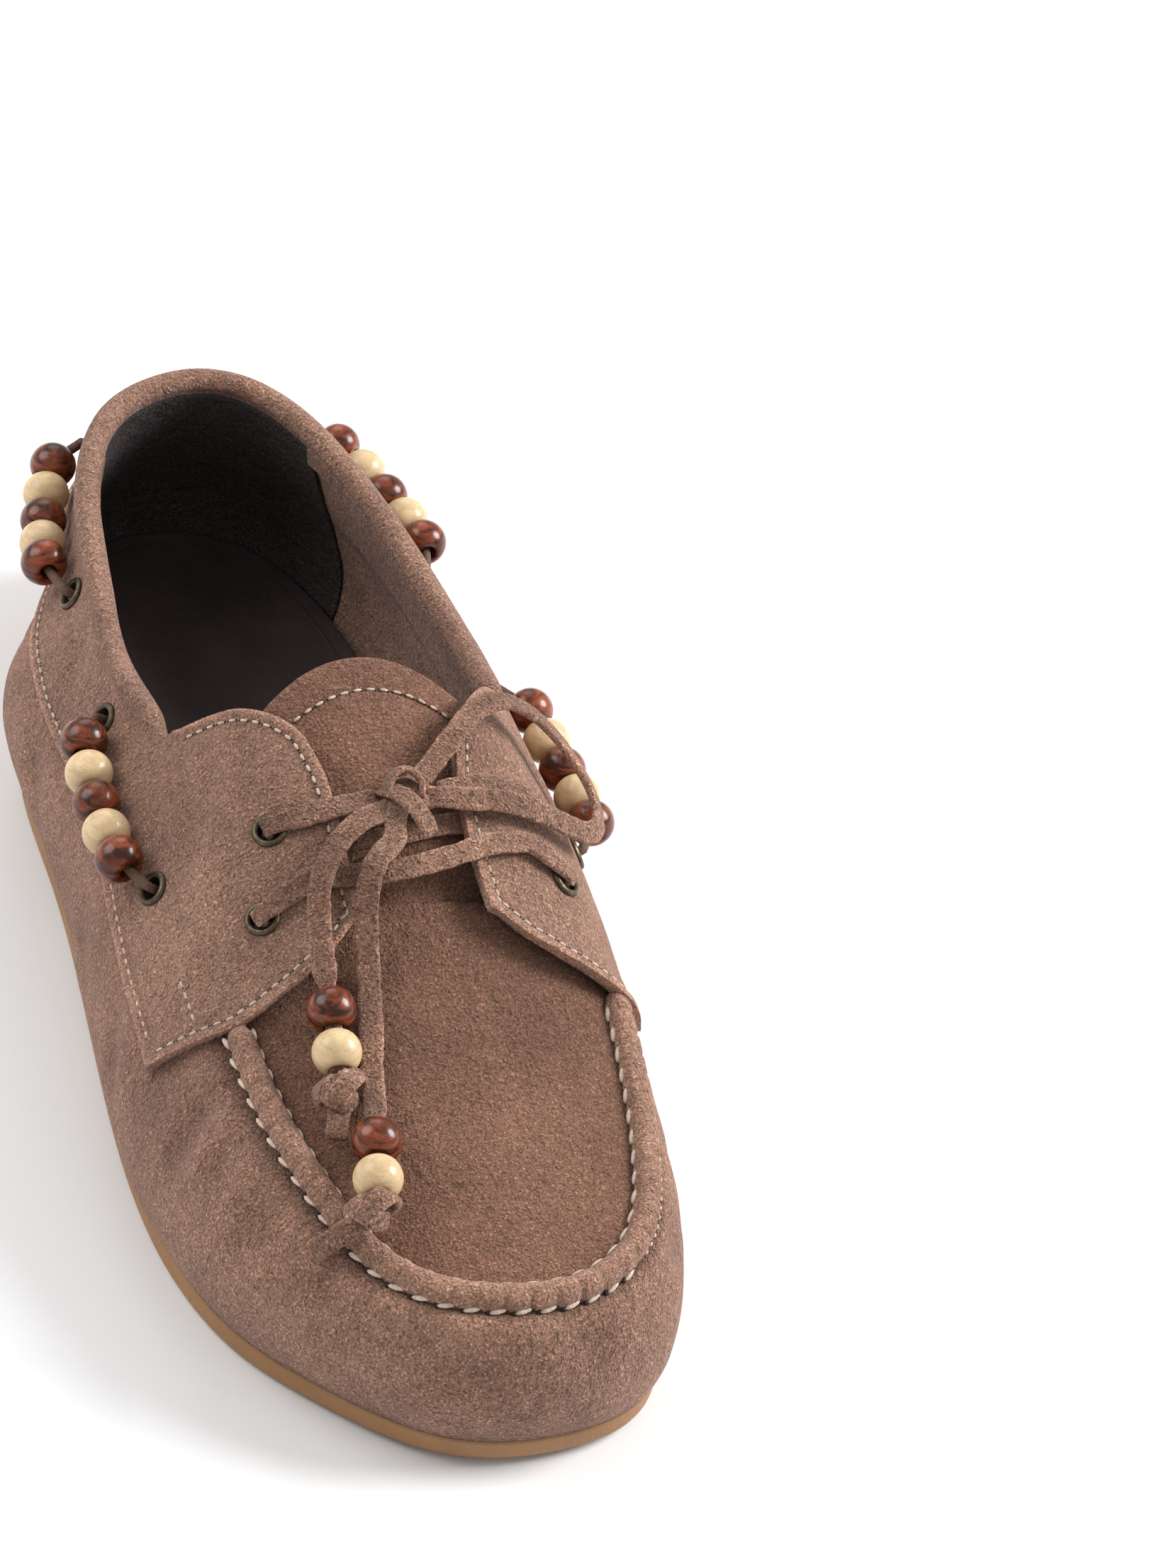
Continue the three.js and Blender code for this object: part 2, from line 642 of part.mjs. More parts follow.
// Tongue: tucked under the back of the apron, rising under the flaps to a round top
function tonguePoint(along, u, depth) {
  const t = lerp(TONGUE_FRONT, TONGUE_TOP + TONGUE_ROUNDING * u * u, along);
  const p = rim(t).lerp(rim(ROUND - t), 0.5);
  const halfRim = Math.abs(rim(t).x - p.x);
  const halfWidth = TONGUE_WIDTH / 2;
  const apronDroop = middleCrown(t) * (halfWidth / halfRim) ** 2;
  const freed = ease((TONGUE_FREE - t) / TONGUE_FREEING);
  const droop = lerp(apronDroop, TONGUE_DROOP, freed) * u * u;
  const tuck = (APRON + GAP) * (1 - ease((TONGUE_TUCK - t) / TONGUE_TUCKING));
  p.x += u * halfWidth;
  p.z += middleCrown(t) - droop - tuck - depth;
  return p;
}

const tongueGrid = (depth) =>
  steps(0, 1, 9).map((along) => steps(-1, 1, 6).map((u) => tonguePoint(along, u, depth)));
place("tongue", sheet(tongueGrid(0), tongueGrid(TONGUE)), SUEDE_TONGUE);

// Eyelets: a barrel through the leather with a rim over it
for (const { name, t, height, leather: depth } of eyelets) {
  const outside = EYELET_BORE + EYELET_METAL;
  const profile = [
    [EYELET_BORE, -depth],
    [outside, -depth],
    [outside, 0],
    [EYELET_RADIUS, 0],
    [EYELET_BORE, EYELET_RIM],
    [EYELET_BORE, -depth],
  ].map(([r, z]) => new THREE.Vector2(r, z));
  const ring = new THREE.LatheGeometry(profile, RING_SIDES).rotateX(Math.PI / 2);
  place(`eyelet_${name}`, ring.applyMatrix4(faceFrame(t, height, PANEL + GAP)), BRASS);
}

// Beads: bored barrels of wood, strung along a line
function beadAt(name, middle, along, bore, material) {
  const half = BEAD_LENGTH / 2;
  const profile = [
    [bore, -half],
    [BEAD_RADIUS * 0.68, -half * 0.94],
    [BEAD_RADIUS, -half * 0.32],
    [BEAD_RADIUS, half * 0.32],
    [BEAD_RADIUS * 0.68, half * 0.94],
    [bore, half],
    [bore, -half],
  ].map(([r, z]) => new THREE.Vector2(r, z));
  const turn = new THREE.Quaternion().setFromUnitVectors(vec(0, 1, 0), along.clone().normalize());
  const bead = new THREE.LatheGeometry(profile, RING_SIDES).applyQuaternion(turn).translate(middle.x, middle.y, middle.z);
  place(name, bead, material);
}

// A bead row hangs on its thong between two eyelets, and sags in its middle
function beadRow(name, side, { from, to, high, low }) {
  const on = (t) => (side === "outer" ? t : ROUND - t);
  const spot = (share, proud) => {
    const sag = 1 - (2 * share - 1) ** 2;
    return skin(on(lerp(from, to, share)), lerp(high, low, sag), proud);
  };
  const resting = PANEL + 2 * GAP + BEAD_RADIUS;
  const middleLine = new THREE.CatmullRomCurve3(steps(0, 1, 12).map((share) => spot(share, resting)));
  const length = middleLine.getLength();
  const lineUp = (i) => middleLine.getPointAt(0.5 + ((i - (BEADS_IN_ROW - 1) / 2) * (BEAD_LENGTH + 1.5 * GAP)) / length);
  const middles = steps(0, BEADS_IN_ROW - 1, BEADS_IN_ROW - 1).map(lineUp);
  const out = PANEL + THONG_TURN;
  const line = [
    spot(0, -WALL),
    spot(0, out),
    spot(THONG_RISE, resting * 0.8),
    ...middles,
    spot(1 - THONG_RISE, resting * 0.8),
    spot(1, out),
    spot(1, -WALL),
  ];
  middles.forEach((middle, i) => {
    const [before, , after] = line.slice(i + 2);
    const wood = i % 2 ? PALE_WOOD : DARK_WOOD;
    beadAt(`bead_${name}_${side}_${i + 1}`, middle, after.clone().sub(before), THONG_RADIUS + 2.5 * GAP, wood);
  });
  place(`thong_${name}_${side}`, cordTube(line, THONG_RADIUS, THONG_STEPS), THONG);
}

function cordTube(line, radius, count) {
  const path = new THREE.CatmullRomCurve3(line, false, "centripetal");
  const section = new THREE.Shape(
    steps(0, 2 * Math.PI, 5)
      .slice(0, -1)
      .map((a) => new THREE.Vector2(radius * Math.cos(a), radius * Math.sin(a))),
  );
  const tube = new THREE.ExtrudeGeometry(section, { steps: count, extrudePath: path });
  tube.deleteAttribute("normal");
  tube.deleteAttribute("uv");
  return mergeVertices(tube, 1e-4);
}

for (const [name, row] of Object.entries(BEAD_ROWS)) for (const side of ["outer", "inner"]) beadRow(name, side, row);

// Laces: flat strips that lie on the instep, drawn narrow where they pass a bead
const laceFacing = (p) => vec(p.x * LACE_TURN, -LACE_TILT, 1).normalize();

function strip(points, widthAt, spacing) {
  const path = new THREE.CatmullRomCurve3(points.map((p) => vec(...p)), false, "centripetal");
  const count = Math.max(2, Math.round(path.getLength() / spacing));
  const rings = steps(0, 1, count).map((share) => {
    const middle = path.getPointAt(share);
    const along = path.getTangentAt(share);
    const across = along.clone().cross(laceFacing(middle)).normalize();
    const up = across.clone().cross(along);
    const [w, h] = [widthAt(middle) / 2, LACE_THICKNESS / 2];
    return [[w, h], [-w, h], [-w, -h], [w, -h]].map(([a, b]) =>
      middle.clone().addScaledVector(across, a).addScaledVector(up, b),
    );
  });
  return loft(rings, false);
}

const fullWidth = () => LACE_WIDTH;
for (const name of ["bar_lower", "bar_under", "bar_upper_outer", "bar_upper_inner"])
  place(`lace_${name}`, strip(LACE_LINES[name], fullWidth, STRIP_STEP), SUEDE);
place("lace_loop", strip(LACE_LINES.loop, fullWidth, STRIP_STEP), SUEDE);

function knot(middle, size) {
  const ball = new THREE.SphereGeometry(0.5, RING_SIDES, 6).scale(...size).rotateX(-0.35).translate(...middle);
  ball.deleteAttribute("normal");
  ball.deleteAttribute("uv");
  return mergeVertices(ball, 1e-4);
}

place("lace_knot", knot(KNOT_MIDDLE, KNOT_SIZE), SUEDE);
for (const [side, { dark, pale, knot: knotMiddle }] of Object.entries(END_BEADS)) {
  const [darkAt, paleAt] = [vec(...dark), vec(...pale)];
  const nearBead = (p) => Math.min(p.distanceTo(darkAt), p.distanceTo(paleAt)) < BEAD_LENGTH / 2 + LACE_GATHER;
  const width = (p) => (nearBead(p) || p.y < paleAt.y ? LACE_IN_BEAD : LACE_WIDTH);
  place(`lace_end_${side}`, strip(LACE_LINES[`end_${side}`], width, END_STEP), SUEDE);
  const along = paleAt.clone().sub(darkAt);
  const bore = Math.hypot(LACE_IN_BEAD, LACE_THICKNESS) / 2 + 2 * GAP;
  beadAt(`lace_bead_${side}_dark`, darkAt, along, bore, DARK_WOOD);
  beadAt(`lace_bead_${side}_pale`, paleAt, along, bore, PALE_WOOD);
  const tied = join(knot(knotMiddle, END_KNOT_SIZE), strip(LACE_LINES[`tail_${side}`], fullWidth, END_STEP));
  place(`lace_end_${side}_knot`, fromManifold(tied), SUEDE);
}

export default shoe;
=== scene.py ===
"""Finish for one right-foot suede moccasin: panels, stitches, beads, laces, sole and a plain studio."""

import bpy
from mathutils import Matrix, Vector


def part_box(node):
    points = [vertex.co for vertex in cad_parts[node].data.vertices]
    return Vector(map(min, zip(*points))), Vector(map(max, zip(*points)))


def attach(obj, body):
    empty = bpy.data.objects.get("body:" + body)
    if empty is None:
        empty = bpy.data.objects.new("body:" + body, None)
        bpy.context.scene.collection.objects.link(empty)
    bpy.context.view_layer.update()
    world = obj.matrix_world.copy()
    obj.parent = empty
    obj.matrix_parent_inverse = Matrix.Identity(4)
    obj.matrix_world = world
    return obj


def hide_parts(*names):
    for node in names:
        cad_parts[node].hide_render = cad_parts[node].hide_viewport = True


bl_info = {
    "name": "Suede moccasin finish",
    "version": (1, 0, 0),
    "blender": (4, 5, 0),
    "location": "View3D > Sidebar > Moccasin",
    "description": "Models the suede, stitches, wooden beads, laces and gum sole of a lace-up moccasin",
    "category": "Object",
}

import math

import bmesh
import bpy
import numpy as np
from mathutils import Matrix, Vector, kdtree, noise

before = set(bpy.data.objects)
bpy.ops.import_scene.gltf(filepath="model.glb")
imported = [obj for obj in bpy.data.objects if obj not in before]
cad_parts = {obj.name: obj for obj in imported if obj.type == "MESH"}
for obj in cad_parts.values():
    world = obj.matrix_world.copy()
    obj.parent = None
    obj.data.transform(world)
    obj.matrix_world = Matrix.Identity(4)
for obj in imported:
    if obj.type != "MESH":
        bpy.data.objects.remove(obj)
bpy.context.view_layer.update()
MM = 0.001

# The last, in millimetres, as the solids have it
LENGTH = 245
BALL_WIDTH = 90
COLLAR_HEIGHT = 55.5
INSTEP_RISE = 19
BELLY = 10
TOE_SPRING = 1.5
SOLE_AT_TOE = 4.5
SOLE_AT_HEEL = 8.5
GAP = 0.3
WALL = 2.2
PANEL = 1.3
COUNTER = 0.8
FLAP = 2.2
FLAP_LIFT = 3
APRON = 1.8
TONGUE = 1.8
TONGUE_WIDTH = 50
TONGUE_DROOP = 10
UNITS = {
    "foot_x": BALL_WIDTH,
    "foot_y": LENGTH,
    "rim_x": BALL_WIDTH,
    "rim_y": LENGTH,
    "rim_z": COLLAR_HEIGHT,
    "belly_out": BELLY,
    "belly_up": COLLAR_HEIGHT,
    "top_out": BELLY,
    "top_down": COLLAR_HEIGHT,
    "crown": INSTEP_RISE,
}
ROWS = [
    # foot_x, foot_y, rim_x, rim_y, rim_z, belly_out, belly_up, top_out, top_down, crown
    (0, 0.5, 0, 0.463, 1, 0.5, 0.25, 0.3, 0.36, 0),
    (-0.17, 0.48, -0.165, 0.445, 0.98, 0.5, 0.25, 0.1, 0.36, 0),
    (-0.27, 0.425, -0.27, 0.395, 0.955, 0.4, 0.25, 0, 0.325, 0),
    (-0.36, 0.345, -0.33, 0.325, 0.93, 0.7, 0.25, -0.1, 0.29, 0),
    (-0.45, 0.255, -0.355, 0.245, 0.9, 1.4, 0.25, 0.4, 0.25, 0.2),
    (-0.465, 0.145, -0.375, 0.155, 0.89, 1.2, 0.25, 0.5, 0.25, 0.7),
    (-0.48, 0.04, -0.355, 0.05, 0.92, 1, 0.25, 0.8, 0.22, 1),
    (-0.51, -0.075, -0.385, -0.08, 0.84, 0.9, 0.235, 0.8, 0.22, 0.74),
    (-0.53, -0.185, -0.385, -0.188, 0.74, 0.9, 0.215, 0.9, 0.14, 0.47),
    (-0.515, -0.28, -0.365, -0.278, 0.675, 0.8, 0.2, 1.1, 0.07, 0.34),
    (-0.45, -0.36, -0.32, -0.35, 0.63, 0.7, 0.18, 1.1, 0.035, 0.25),
    (-0.335, -0.42, -0.25, -0.412, 0.585, 0.6, 0.18, 0.9, 0.02, 0.16),
    (-0.17, -0.478, -0.135, -0.45, 0.57, 0.6, 0.18, 0.8, 0.02, 0.08),
    (0.01, -0.5, 0.02, -0.463, 0.57, 0.6, 0.18, 0.8, 0.02, 0),
    (0.2, -0.491, 0.165, -0.453, 0.57, 0.6, 0.18, 0.7, 0.02, 0.08),
    (0.335, -0.455, 0.29, -0.412, 0.585, 0.5, 0.18, 0.7, 0.02, 0.16),
    (0.415, -0.38, 0.355, -0.343, 0.62, 0.5, 0.18, 0.7, 0.035, 0.25),
    (0.445, -0.29, 0.385, -0.27, 0.675, 0.5, 0.2, 0.6, 0.07, 0.34),
    (0.46, -0.185, 0.4, -0.188, 0.74, 0.45, 0.215, 0.6, 0.14, 0.47),
    (0.44, -0.075, 0.395, -0.075, 0.84, 0.8, 0.235, 0.75, 0.22, 0.74),
    (0.4, 0.04, 0.365, 0.057, 0.93, 0.9, 0.25, 0.7, 0.22, 1),
    (0.365, 0.145, 0.365, 0.155, 0.89, 0.9, 0.25, 0.4, 0.25, 0.7),
    (0.365, 0.255, 0.335, 0.245, 0.9, 0.8, 0.25, 0.3, 0.25, 0.2),
    (0.35, 0.345, 0.29, 0.325, 0.93, 0.8, 0.25, 0.3, 0.29, 0),
    (0.295, 0.42, 0.23, 0.395, 0.955, 0.7, 0.25, 0.3, 0.325, 0),
    (0.18, 0.48, 0.14, 0.445, 0.98, 0.6, 0.25, 0.3, 0.36, 0),
]
ROUND = len(ROWS)
TOE = 13
THROAT = 6

# Panel, flaps and tongue, as the solids have them
PANEL_FOOT = 0.58
PANEL_TURN = 4
PANEL_TURN_SHARE = 0.4
FLAP_TOP = [
    (5.9, 0.98), (6.05, 1.12), (6.15, 1.34), (6.35, 1.54), (6.55, 1.68), (6.85, 1.75), (7.2, 1.77),
    (7.75, 1.76),
]
FLAP_FRONT = [(0, 8.04), (0.2, 8.16), (0.36, 8.24), (0.55, 8.2), (0.74, 8.1), (0.9, 7.95), (1, 7.75)]
APRON_BACK = 7.6
TONGUE_FRONT = 7.8
TONGUE_TOP = 6.05
TONGUE_ROUNDING = 0.36
TONGUE_FREE = 7.4
TONGUE_FREEING = 1.2
TONGUE_TUCK = 7.5
TONGUE_TUCKING = 0.35
TONGUE_SEAM = 7  # from the tongue's top edge to its stitches
COLLAR_AT = 0.982
COLLAR_ROLL = 2.5, 2.4  # half its width and height
FACING = 5.5  # depth of the collar's turned-in edge
LINING_TOP = 2.0
LINING_FOOT = 2.6
COUNTER_SIDE = 5 / 3
CORNER_STITCHES = (7.58, 0.84), (8.0, 0.84)  # short second row near the flap's lower corner

# Eyelets: station and height on the face
LACE_EYELETS = {
    "outer_upper": (7.03, 1.47),
    "outer_lower": (7.55, 1.35),
    "inner_upper": (ROUND - 6.95, 1.42),
    "inner_lower": (ROUND - 7.42, 1.29),
}
BEAD_ROWS = {
    # from, to, high, low
    "front": (5.35, 6.84, 0.82, 0.72),
    "heel": (1.4, 3.82, 0.84, 0.78),
}
EYELET_PROFILE = [
    # radius and height of the ring's section
    (2.1, -2.4),
    (2.1, 0.3),
    (2.25, 0.58),
    (2.6, 0.72),
    (3.0, 0.58),
    (3.3, 0.15),
    (3.25, -0.05),
    (2.55, -0.05),
    (2.5, -2.4),
    (2.1, -2.4),
]
BEAD_RADIUS = 4.4
BEAD_LENGTH = 7.3
BEAD_MOUTH = 0.25
BEAD_ROUNDING = 1.02  # half angle of the barrel, in radians
LACE_BORE = 1.7
THONG_BORE = 1.5
THONG_HALF = 0.95, 0.85  # half its width and thickness
THONG_TURN = 2.2
THONG_RISE = 0.05
RIDGE_ENDS = 8.2, 17.8
RIDGE_BED = 7.9, 18.1  # ends of the folds under the ridge
RIDGE_FOLDS = (-0.9, 0.92, 0.05), (0.35, 0.78, 0.07)  # rise, height on the wall and width
RIDGE_TURN = 14.7  # past the toe the ridge's outer row is finer
FINE_PITCH = 2.2
FINE_STITCH = 1.2
SADDLE_THREAD = 0.55  # half the thickness of each thread
EDGE_THREAD = 0.3
HOLE_REACH = 0.52  # from a stitch's middle to its holes, as a share of its length
HOLE_SHAPE = 0.9, 1.1, 0.5  # half sizes along, across and up, as shares of the half thread
HOLE_SUNK = 0.3
TONGUE_ROW = 0.86, 0.92  # where its stitches run, as shares of its length and half width

# Laces, in millimetres: the middle line of each strip, as the solids have it
LACE_LINES = {
    "bar_lower": [
        (-23.3, -34.4, 55.4), (-18.6, -33.4, 57.9), (-12, -34, 59.2), (-5, -34.3, 59.7), (2, -33.3, 60),
        (8, -32, 60.4), (14.5, -30.4, 60.8), (19.5, -29.3, 60), (24, -28.8, 58.4), (27.3, -29, 56.4),
    ],
    "bar_under": [
        (-17, -27, 55.6), (-12, -26.5, 57.1), (-6, -25.5, 58.7), (0, -24.5, 59.5), (6, -23.5, 59.8),
        (12, -22.5, 59.2), (17, -21.5, 57.6),
    ],
    "bar_upper_outer": [
        (-21.5, -20.6, 62.2), (-17.5, -21.5, 62.6), (-12, -21.5, 64.1), (-7.5, -21, 64.4),
        (-4.2, -20.6, 64.4),
    ],
    "bar_upper_inner": [
        (8.2, -20, 64.8), (12, -19.5, 65), (17, -18.5, 64.5), (21.5, -17.6, 62.9),
    ],
    "loop": [
        (6.5, -15.6, 65.6), (10.5, -12, 67.5), (14, -8.8, 68.9), (17.5, -5.2, 69.4), (21.4, -2.6, 69.4),
        (24.8, -1.6, 69), (28.2, -1.6, 67.4), (32, -2, 64.8), (35.6, -3.9, 61.6), (38, -5.8, 59),
        (39.8, -8.4, 56.8), (41, -11.6, 55), (41.3, -15.4, 53.6), (40.2, -19.2, 53.2),
        (37.6, -21.8, 54), (34, -22.4, 56), (30.2, -22.4, 58.4), (26, -22.6, 61), (21, -22.8, 63.4),
        (16, -23.4, 65.2), (11.5, -23.6, 66), (8, -22.8, 66),
    ],
    "end_outer": [
        (-3.8, -24, 65), (-8.2, -25.9, 64.6), (-12.8, -29, 63), (-16.4, -33.6, 61.5),
        (-18.6, -38, 59.4), (-19.3, -42, 57.1), (-19.8, -46, 54.9), (-20, -50, 52.6),
        (-20.4, -57.5, 49.6), (-21.3, -65.5, 47.1), (-21.8, -69.2, 46),
    ],
    "end_inner": [
        (0.8, -26.6, 64.2), (-3.2, -30.2, 63.3), (-7.4, -34.2, 62.4), (-10, -39, 59.2),
        (-10.9, -44, 55), (-11.4, -49, 50.8), (-12.6, -56, 47.9), (-14, -63, 45.6), (-15.6, -70, 43.8),
        (-17.1, -76.8, 43.9), (-18.8, -84, 43.2), (-20.6, -91.8, 42), (-21.6, -95.8, 41.3),
    ],
    "tail_outer": [(-22.7, -74.2, 43.2), (-23.5, -77, 41.6), (-24.2, -79.6, 40)],
    "tail_inner": [(-24.5, -98.8, 39.4), (-27.6, -99, 37.3), (-30.2, -98.6, 34.6), (-32, -97.6, 31.8)],
}
END_BEADS = {
    "outer": {"dark": (-20.4, -57.5, 49.6), "pale": (-21.3, -65.5, 47.1), "knot": (-22.4, -73.4, 44)},
    "inner": {"dark": (-18.8, -84, 43.2), "pale": (-20.6, -91.8, 42), "knot": (-23.4, -98.6, 40)},
}
KNOT_MIDDLE = (2, -20.4, 64.3)
KNOT_STRIP = 3.5
KNOT_RING = 1.6, -3.5, 2.3  # its half sizes across, back and up
# From the knot's middle: the strip drawn over it, and its upright fold
KNOT_WRAP = [
    (-3, 3, -1.6), (-4.1, 1.2, 1.2), (-3.4, -1.2, 2.9), (-1.8, -3.5, 3.2), (-0.2, -5.9, 2.3),
    (1.2, -7.6, 0.5), (2, -8.4, -1.4),
]
KNOT_FOLD = [
    (-4.3, -1, 1.2), (-3.9, 0.6, 3.1), (-2.5, 1.9, 4.4), (-0.6, 2.3, 4.9), (1.2, 1.4, 4.4),
    (2.2, -0.3, 3.1), (1.8, -1.9, 1.5),
]
# Where the loop and the two ends leave the knot, under its strips
KNOT_LEAVES = {
    "loop_start": (2.6, -18.6, 64.4),
    "loop_end": (3.2, -21.4, 65),
    "end_outer": [(1, -21.6, 63.8), (-3.8, -24, 64.6)],
    "end_inner": [(0.2, -21.4, 64.6), (-1.8, -25.7, 64.2)],
}
# The knot under a lace's beads: along the lace, across it and up from the knot's middle
END_TURN = -1.9, 1.5, 4.1, 2.1  # set back, and half sizes along, across and up
END_OVER = [(-3.6, -1.6, 1.2), (-2.6, -2.6, 2.6), (-0.6, -1.4, 3.4), (1.6, 0.9, 2.4)]
END_UNDER = [(-3.4, 1.8, 0.4), (-1.6, 2.8, 1.8), (0.8, 1.6, 2.0), (1.8, -0.8, 0.6), (0.6, -2.4, -0.8)]
END_UP = (-0.3, -0.4, 1.0)
LACE_LEAN = 0.022, -0.33, 0.9  # how the instep turns a lace: by its x, forward and up

# Soft creases of the worn suede
CREASES = [
    # start station, height, end station, height, width, depth
    (8.5, 0.9, 8.9, 0.35, 3.2, 0.5),
    (9.1, 0.92, 9.3, 0.45, 3.0, 0.4),
    (9.8, 0.85, 9.9, 0.4, 3.5, 0.35),
    (10.8, 0.9, 10.7, 0.5, 3.2, 0.35),
    (12.0, 0.88, 11.8, 0.5, 4.0, 0.3),
    (13.6, 0.85, 13.9, 0.45, 4.0, 0.3),
    (15.2, 0.9, 15.5, 0.4, 3.5, 0.35),
    (16.6, 0.92, 16.4, 0.4, 3.2, 0.4),
    (17.5, 0.9, 17.2, 0.35, 3.0, 0.5),
    (7.2, 0.5, 7.9, 0.2, 3.0, 0.45),
    (6.2, 0.45, 6.9, 0.16, 3.2, 0.4),
    (4.6, 0.5, 5.2, 0.18, 3.4, 0.45),
    (3.2, 0.5, 3.7, 0.15, 3.0, 0.4),
    (18.8, 0.5, 18.1, 0.2, 3.0, 0.45),
    (20.4, 0.48, 19.8, 0.2, 3.2, 0.4),
    (22.2, 0.5, 21.6, 0.16, 3.4, 0.45),
    (23.6, 0.5, 23.1, 0.2, 3.0, 0.35),
]
PANEL_CREASES = [
    (4.3, 0.92, 4.9, 0.66, 3.0, 0.4),
    (5.9, 0.9, 5.6, 0.68, 2.6, 0.35),
    (6.4, 1.25, 6.9, 0.95, 3.4, 0.35),
    (7.4, 1.1, 7.9, 0.85, 3.0, 0.3),
    (2.2, 0.9, 2.6, 0.66, 2.6, 0.3),
    (21.6, 0.92, 21.1, 0.66, 3.0, 0.4),
    (20.1, 0.9, 20.4, 0.68, 2.6, 0.35),
    (19.6, 1.25, 19.1, 0.95, 3.4, 0.35),
    (23.8, 0.9, 23.4, 0.66, 2.6, 0.3),
]


def columns_of_last():
    """Each measure of the last with the slopes of a smooth closed curve through its rows."""
    found = {}
    for column, (name, unit) in enumerate(UNITS.items()):
        values = np.array([row[column] * unit for row in ROWS], float)
        slopes = np.zeros(ROUND)
        for _ in range(40):
            for i in range(ROUND):
                before, after = (i - 1) % ROUND, (i + 1) % ROUND
                slopes[i] = (3 * (values[after] - values[before]) - slopes[before] - slopes[after]) / 4
        found[name] = values, slopes
    return found


COLUMNS = columns_of_last()


def measure(name, t):
    values, slopes = COLUMNS[name]
    wrapped = np.mod(t, ROUND)
    i = np.floor(wrapped).astype(int) % ROUND
    j = (i + 1) % ROUND
    s = wrapped - np.floor(wrapped)
    return (
        (2 * s**3 - 3 * s**2 + 1) * values[i]
        + (s**3 - 2 * s**2 + s) * slopes[i]
        + (3 * s**2 - 2 * s**3) * values[j]
        + (s**3 - s**2) * slopes[j]
    )


def ease(x):
    x = np.clip(x, 0, 1)
    return x * x * (3 - 2 * x)


def lerp(a, b, s):
    return a + (b - a) * s


def unit(v):
    return v / np.maximum(np.linalg.norm(v, axis=-1, keepdims=True), 1e-9)


def stack(x, y, z):
    return np.stack(np.broadcast_arrays(x, y, z), -1).astype(float)


def hump(x, width):
    """1 at nought, falling away softly on both sides."""
    return np.exp(-((x / width) ** 2))


def with_ends(values):
    """The same values with the first and the last of them repeated."""
    return np.concatenate([values[:1], values, values[-1:]])


def spring(y):
    return TOE_SPRING * np.clip((-y / LENGTH - 0.305) / 0.195, 0, 1) ** 2


def seat(y):
    return lerp(SOLE_AT_TOE, SOLE_AT_HEEL, ease((y / LENGTH + 0.25) / 0.57)) + spring(y)


def foot(t):
    return stack(measure("foot_x", t), measure("foot_y", t), 0)


def rim(t):
    return stack(measure("rim_x", t), measure("rim_y", t), measure("rim_z", t))


def middle_crown(t):
    return (measure("crown", t) + measure("crown", ROUND - t)) / 2


def outward(t):
    along = foot(t + 0.01) - foot(t - 0.01)
    return unit(stack(along[..., 1], -along[..., 0], 0))


def bezier(points, s):
    s = s[..., None]
    r = 1 - s
    a, b, c, d = points
    return r**3 * a + 3 * r * r * s * b + 3 * r * s * s * c + s**3 * d


def wall_curve(t):
    out = outward(t)
    low = foot(t)
    low[..., 2] = seat(low[..., 1]) + GAP
    high = rim(t)
    belly = low + out * measure("belly_out", t)[..., None] + stack(0, 0, measure("belly_up", t))
    under = high + out * measure("top_out", t)[..., None] - stack(0, 0, measure("top_down", t))
    return low, belly, under, high


def arch_curve(t):
    _, _, under, edge = wall_curve(t)
    middle = (edge + rim(ROUND - t)) / 2
    across = edge[..., 0] - middle[..., 0]
    middle[..., 2] += middle_crown(t) + FLAP_LIFT
    rise = middle[..., 2] - edge[..., 2]
    lean = unit(edge - under)
    return edge, edge + lean * (rise * 0.72)[..., None], middle + stack(across * 0.5, 0, 0), middle


def face(t, height):
    """The upper's outer face: height 0 to 1 is the wall, 1 to 2 the instep up to the shoe's middle."""
    t, height = np.broadcast_arrays(np.asarray(t, float), np.asarray(height, float))
    wall = bezier(wall_curve(t), np.clip(height, 0, 1))
    arch = bezier(arch_curve(t), np.clip(height - 1, 0, 1))
    return np.where((height <= 1)[..., None], wall, arch)


def face_normal(t, height):
    height = np.where(np.abs(height - 1) < 0.02, 0.98, height)
    along = face(t + 0.02, height) - face(t - 0.02, height)
    up = face(t, height + 0.01) - face(t, height - 0.01)
    return unit(np.cross(along, up))


def skin(t, height, proud):
    t, height = np.broadcast_arrays(np.asarray(t, float), np.asarray(height, float))
    return face(t, height) + face_normal(t, height) * np.asarray(proud, float)[..., None]


def looked_up(table, x):
    """A short table read smoothly, with its corners rounded."""
    xs, ys = zip(*table)
    spread = (xs[-1] - xs[0]) * 0.02
    return sum(np.interp(x + k * spread, xs, ys) for k in (-2, -1, 0, 1, 2)) / 5


def length_along(points):
    """Distance from the start of a line of points to each of them."""
    gaps = np.linalg.norm(np.diff(points, axis=0), axis=1)
    return np.concatenate([[0], np.cumsum(gaps)])


def smooth_line(points, spacing):
    """A smooth curve through a few points, as a closer row of points."""
    points = np.array(points, float)
    padded = np.vstack([2 * points[0] - points[1], points, 2 * points[-1] - points[-2]])
    parts = []
    for a, b, c, d in zip(padded, padded[1:], padded[2:], padded[3:]):
        s = np.linspace(0, 1, max(2, round(np.linalg.norm(c - b) / spacing)), endpoint=False)[:, None]
        curve = 2 * b + (c - a) * s + (2 * a - 5 * b + 4 * c - d) * s**2 + (3 * b - a - 3 * c + d) * s**3
        parts.append(curve / 2)
    return np.vstack(parts + [points[-1:]])


def distance_to(points, line):
    """Distance of each point from the nearest point of a dense line."""
    tree = kdtree.KDTree(len(line))
    for i, p in enumerate(line):
        tree.insert(p, i)
    tree.balance()
    return np.array([tree.find(p)[2] for p in points])


def unevenness(points, scale, seed):
    """Soft random rise and fall, from -1 to 1, that repeats every run."""
    moved = points / scale + seed
    return np.array([noise.noise(p) for p in moved])


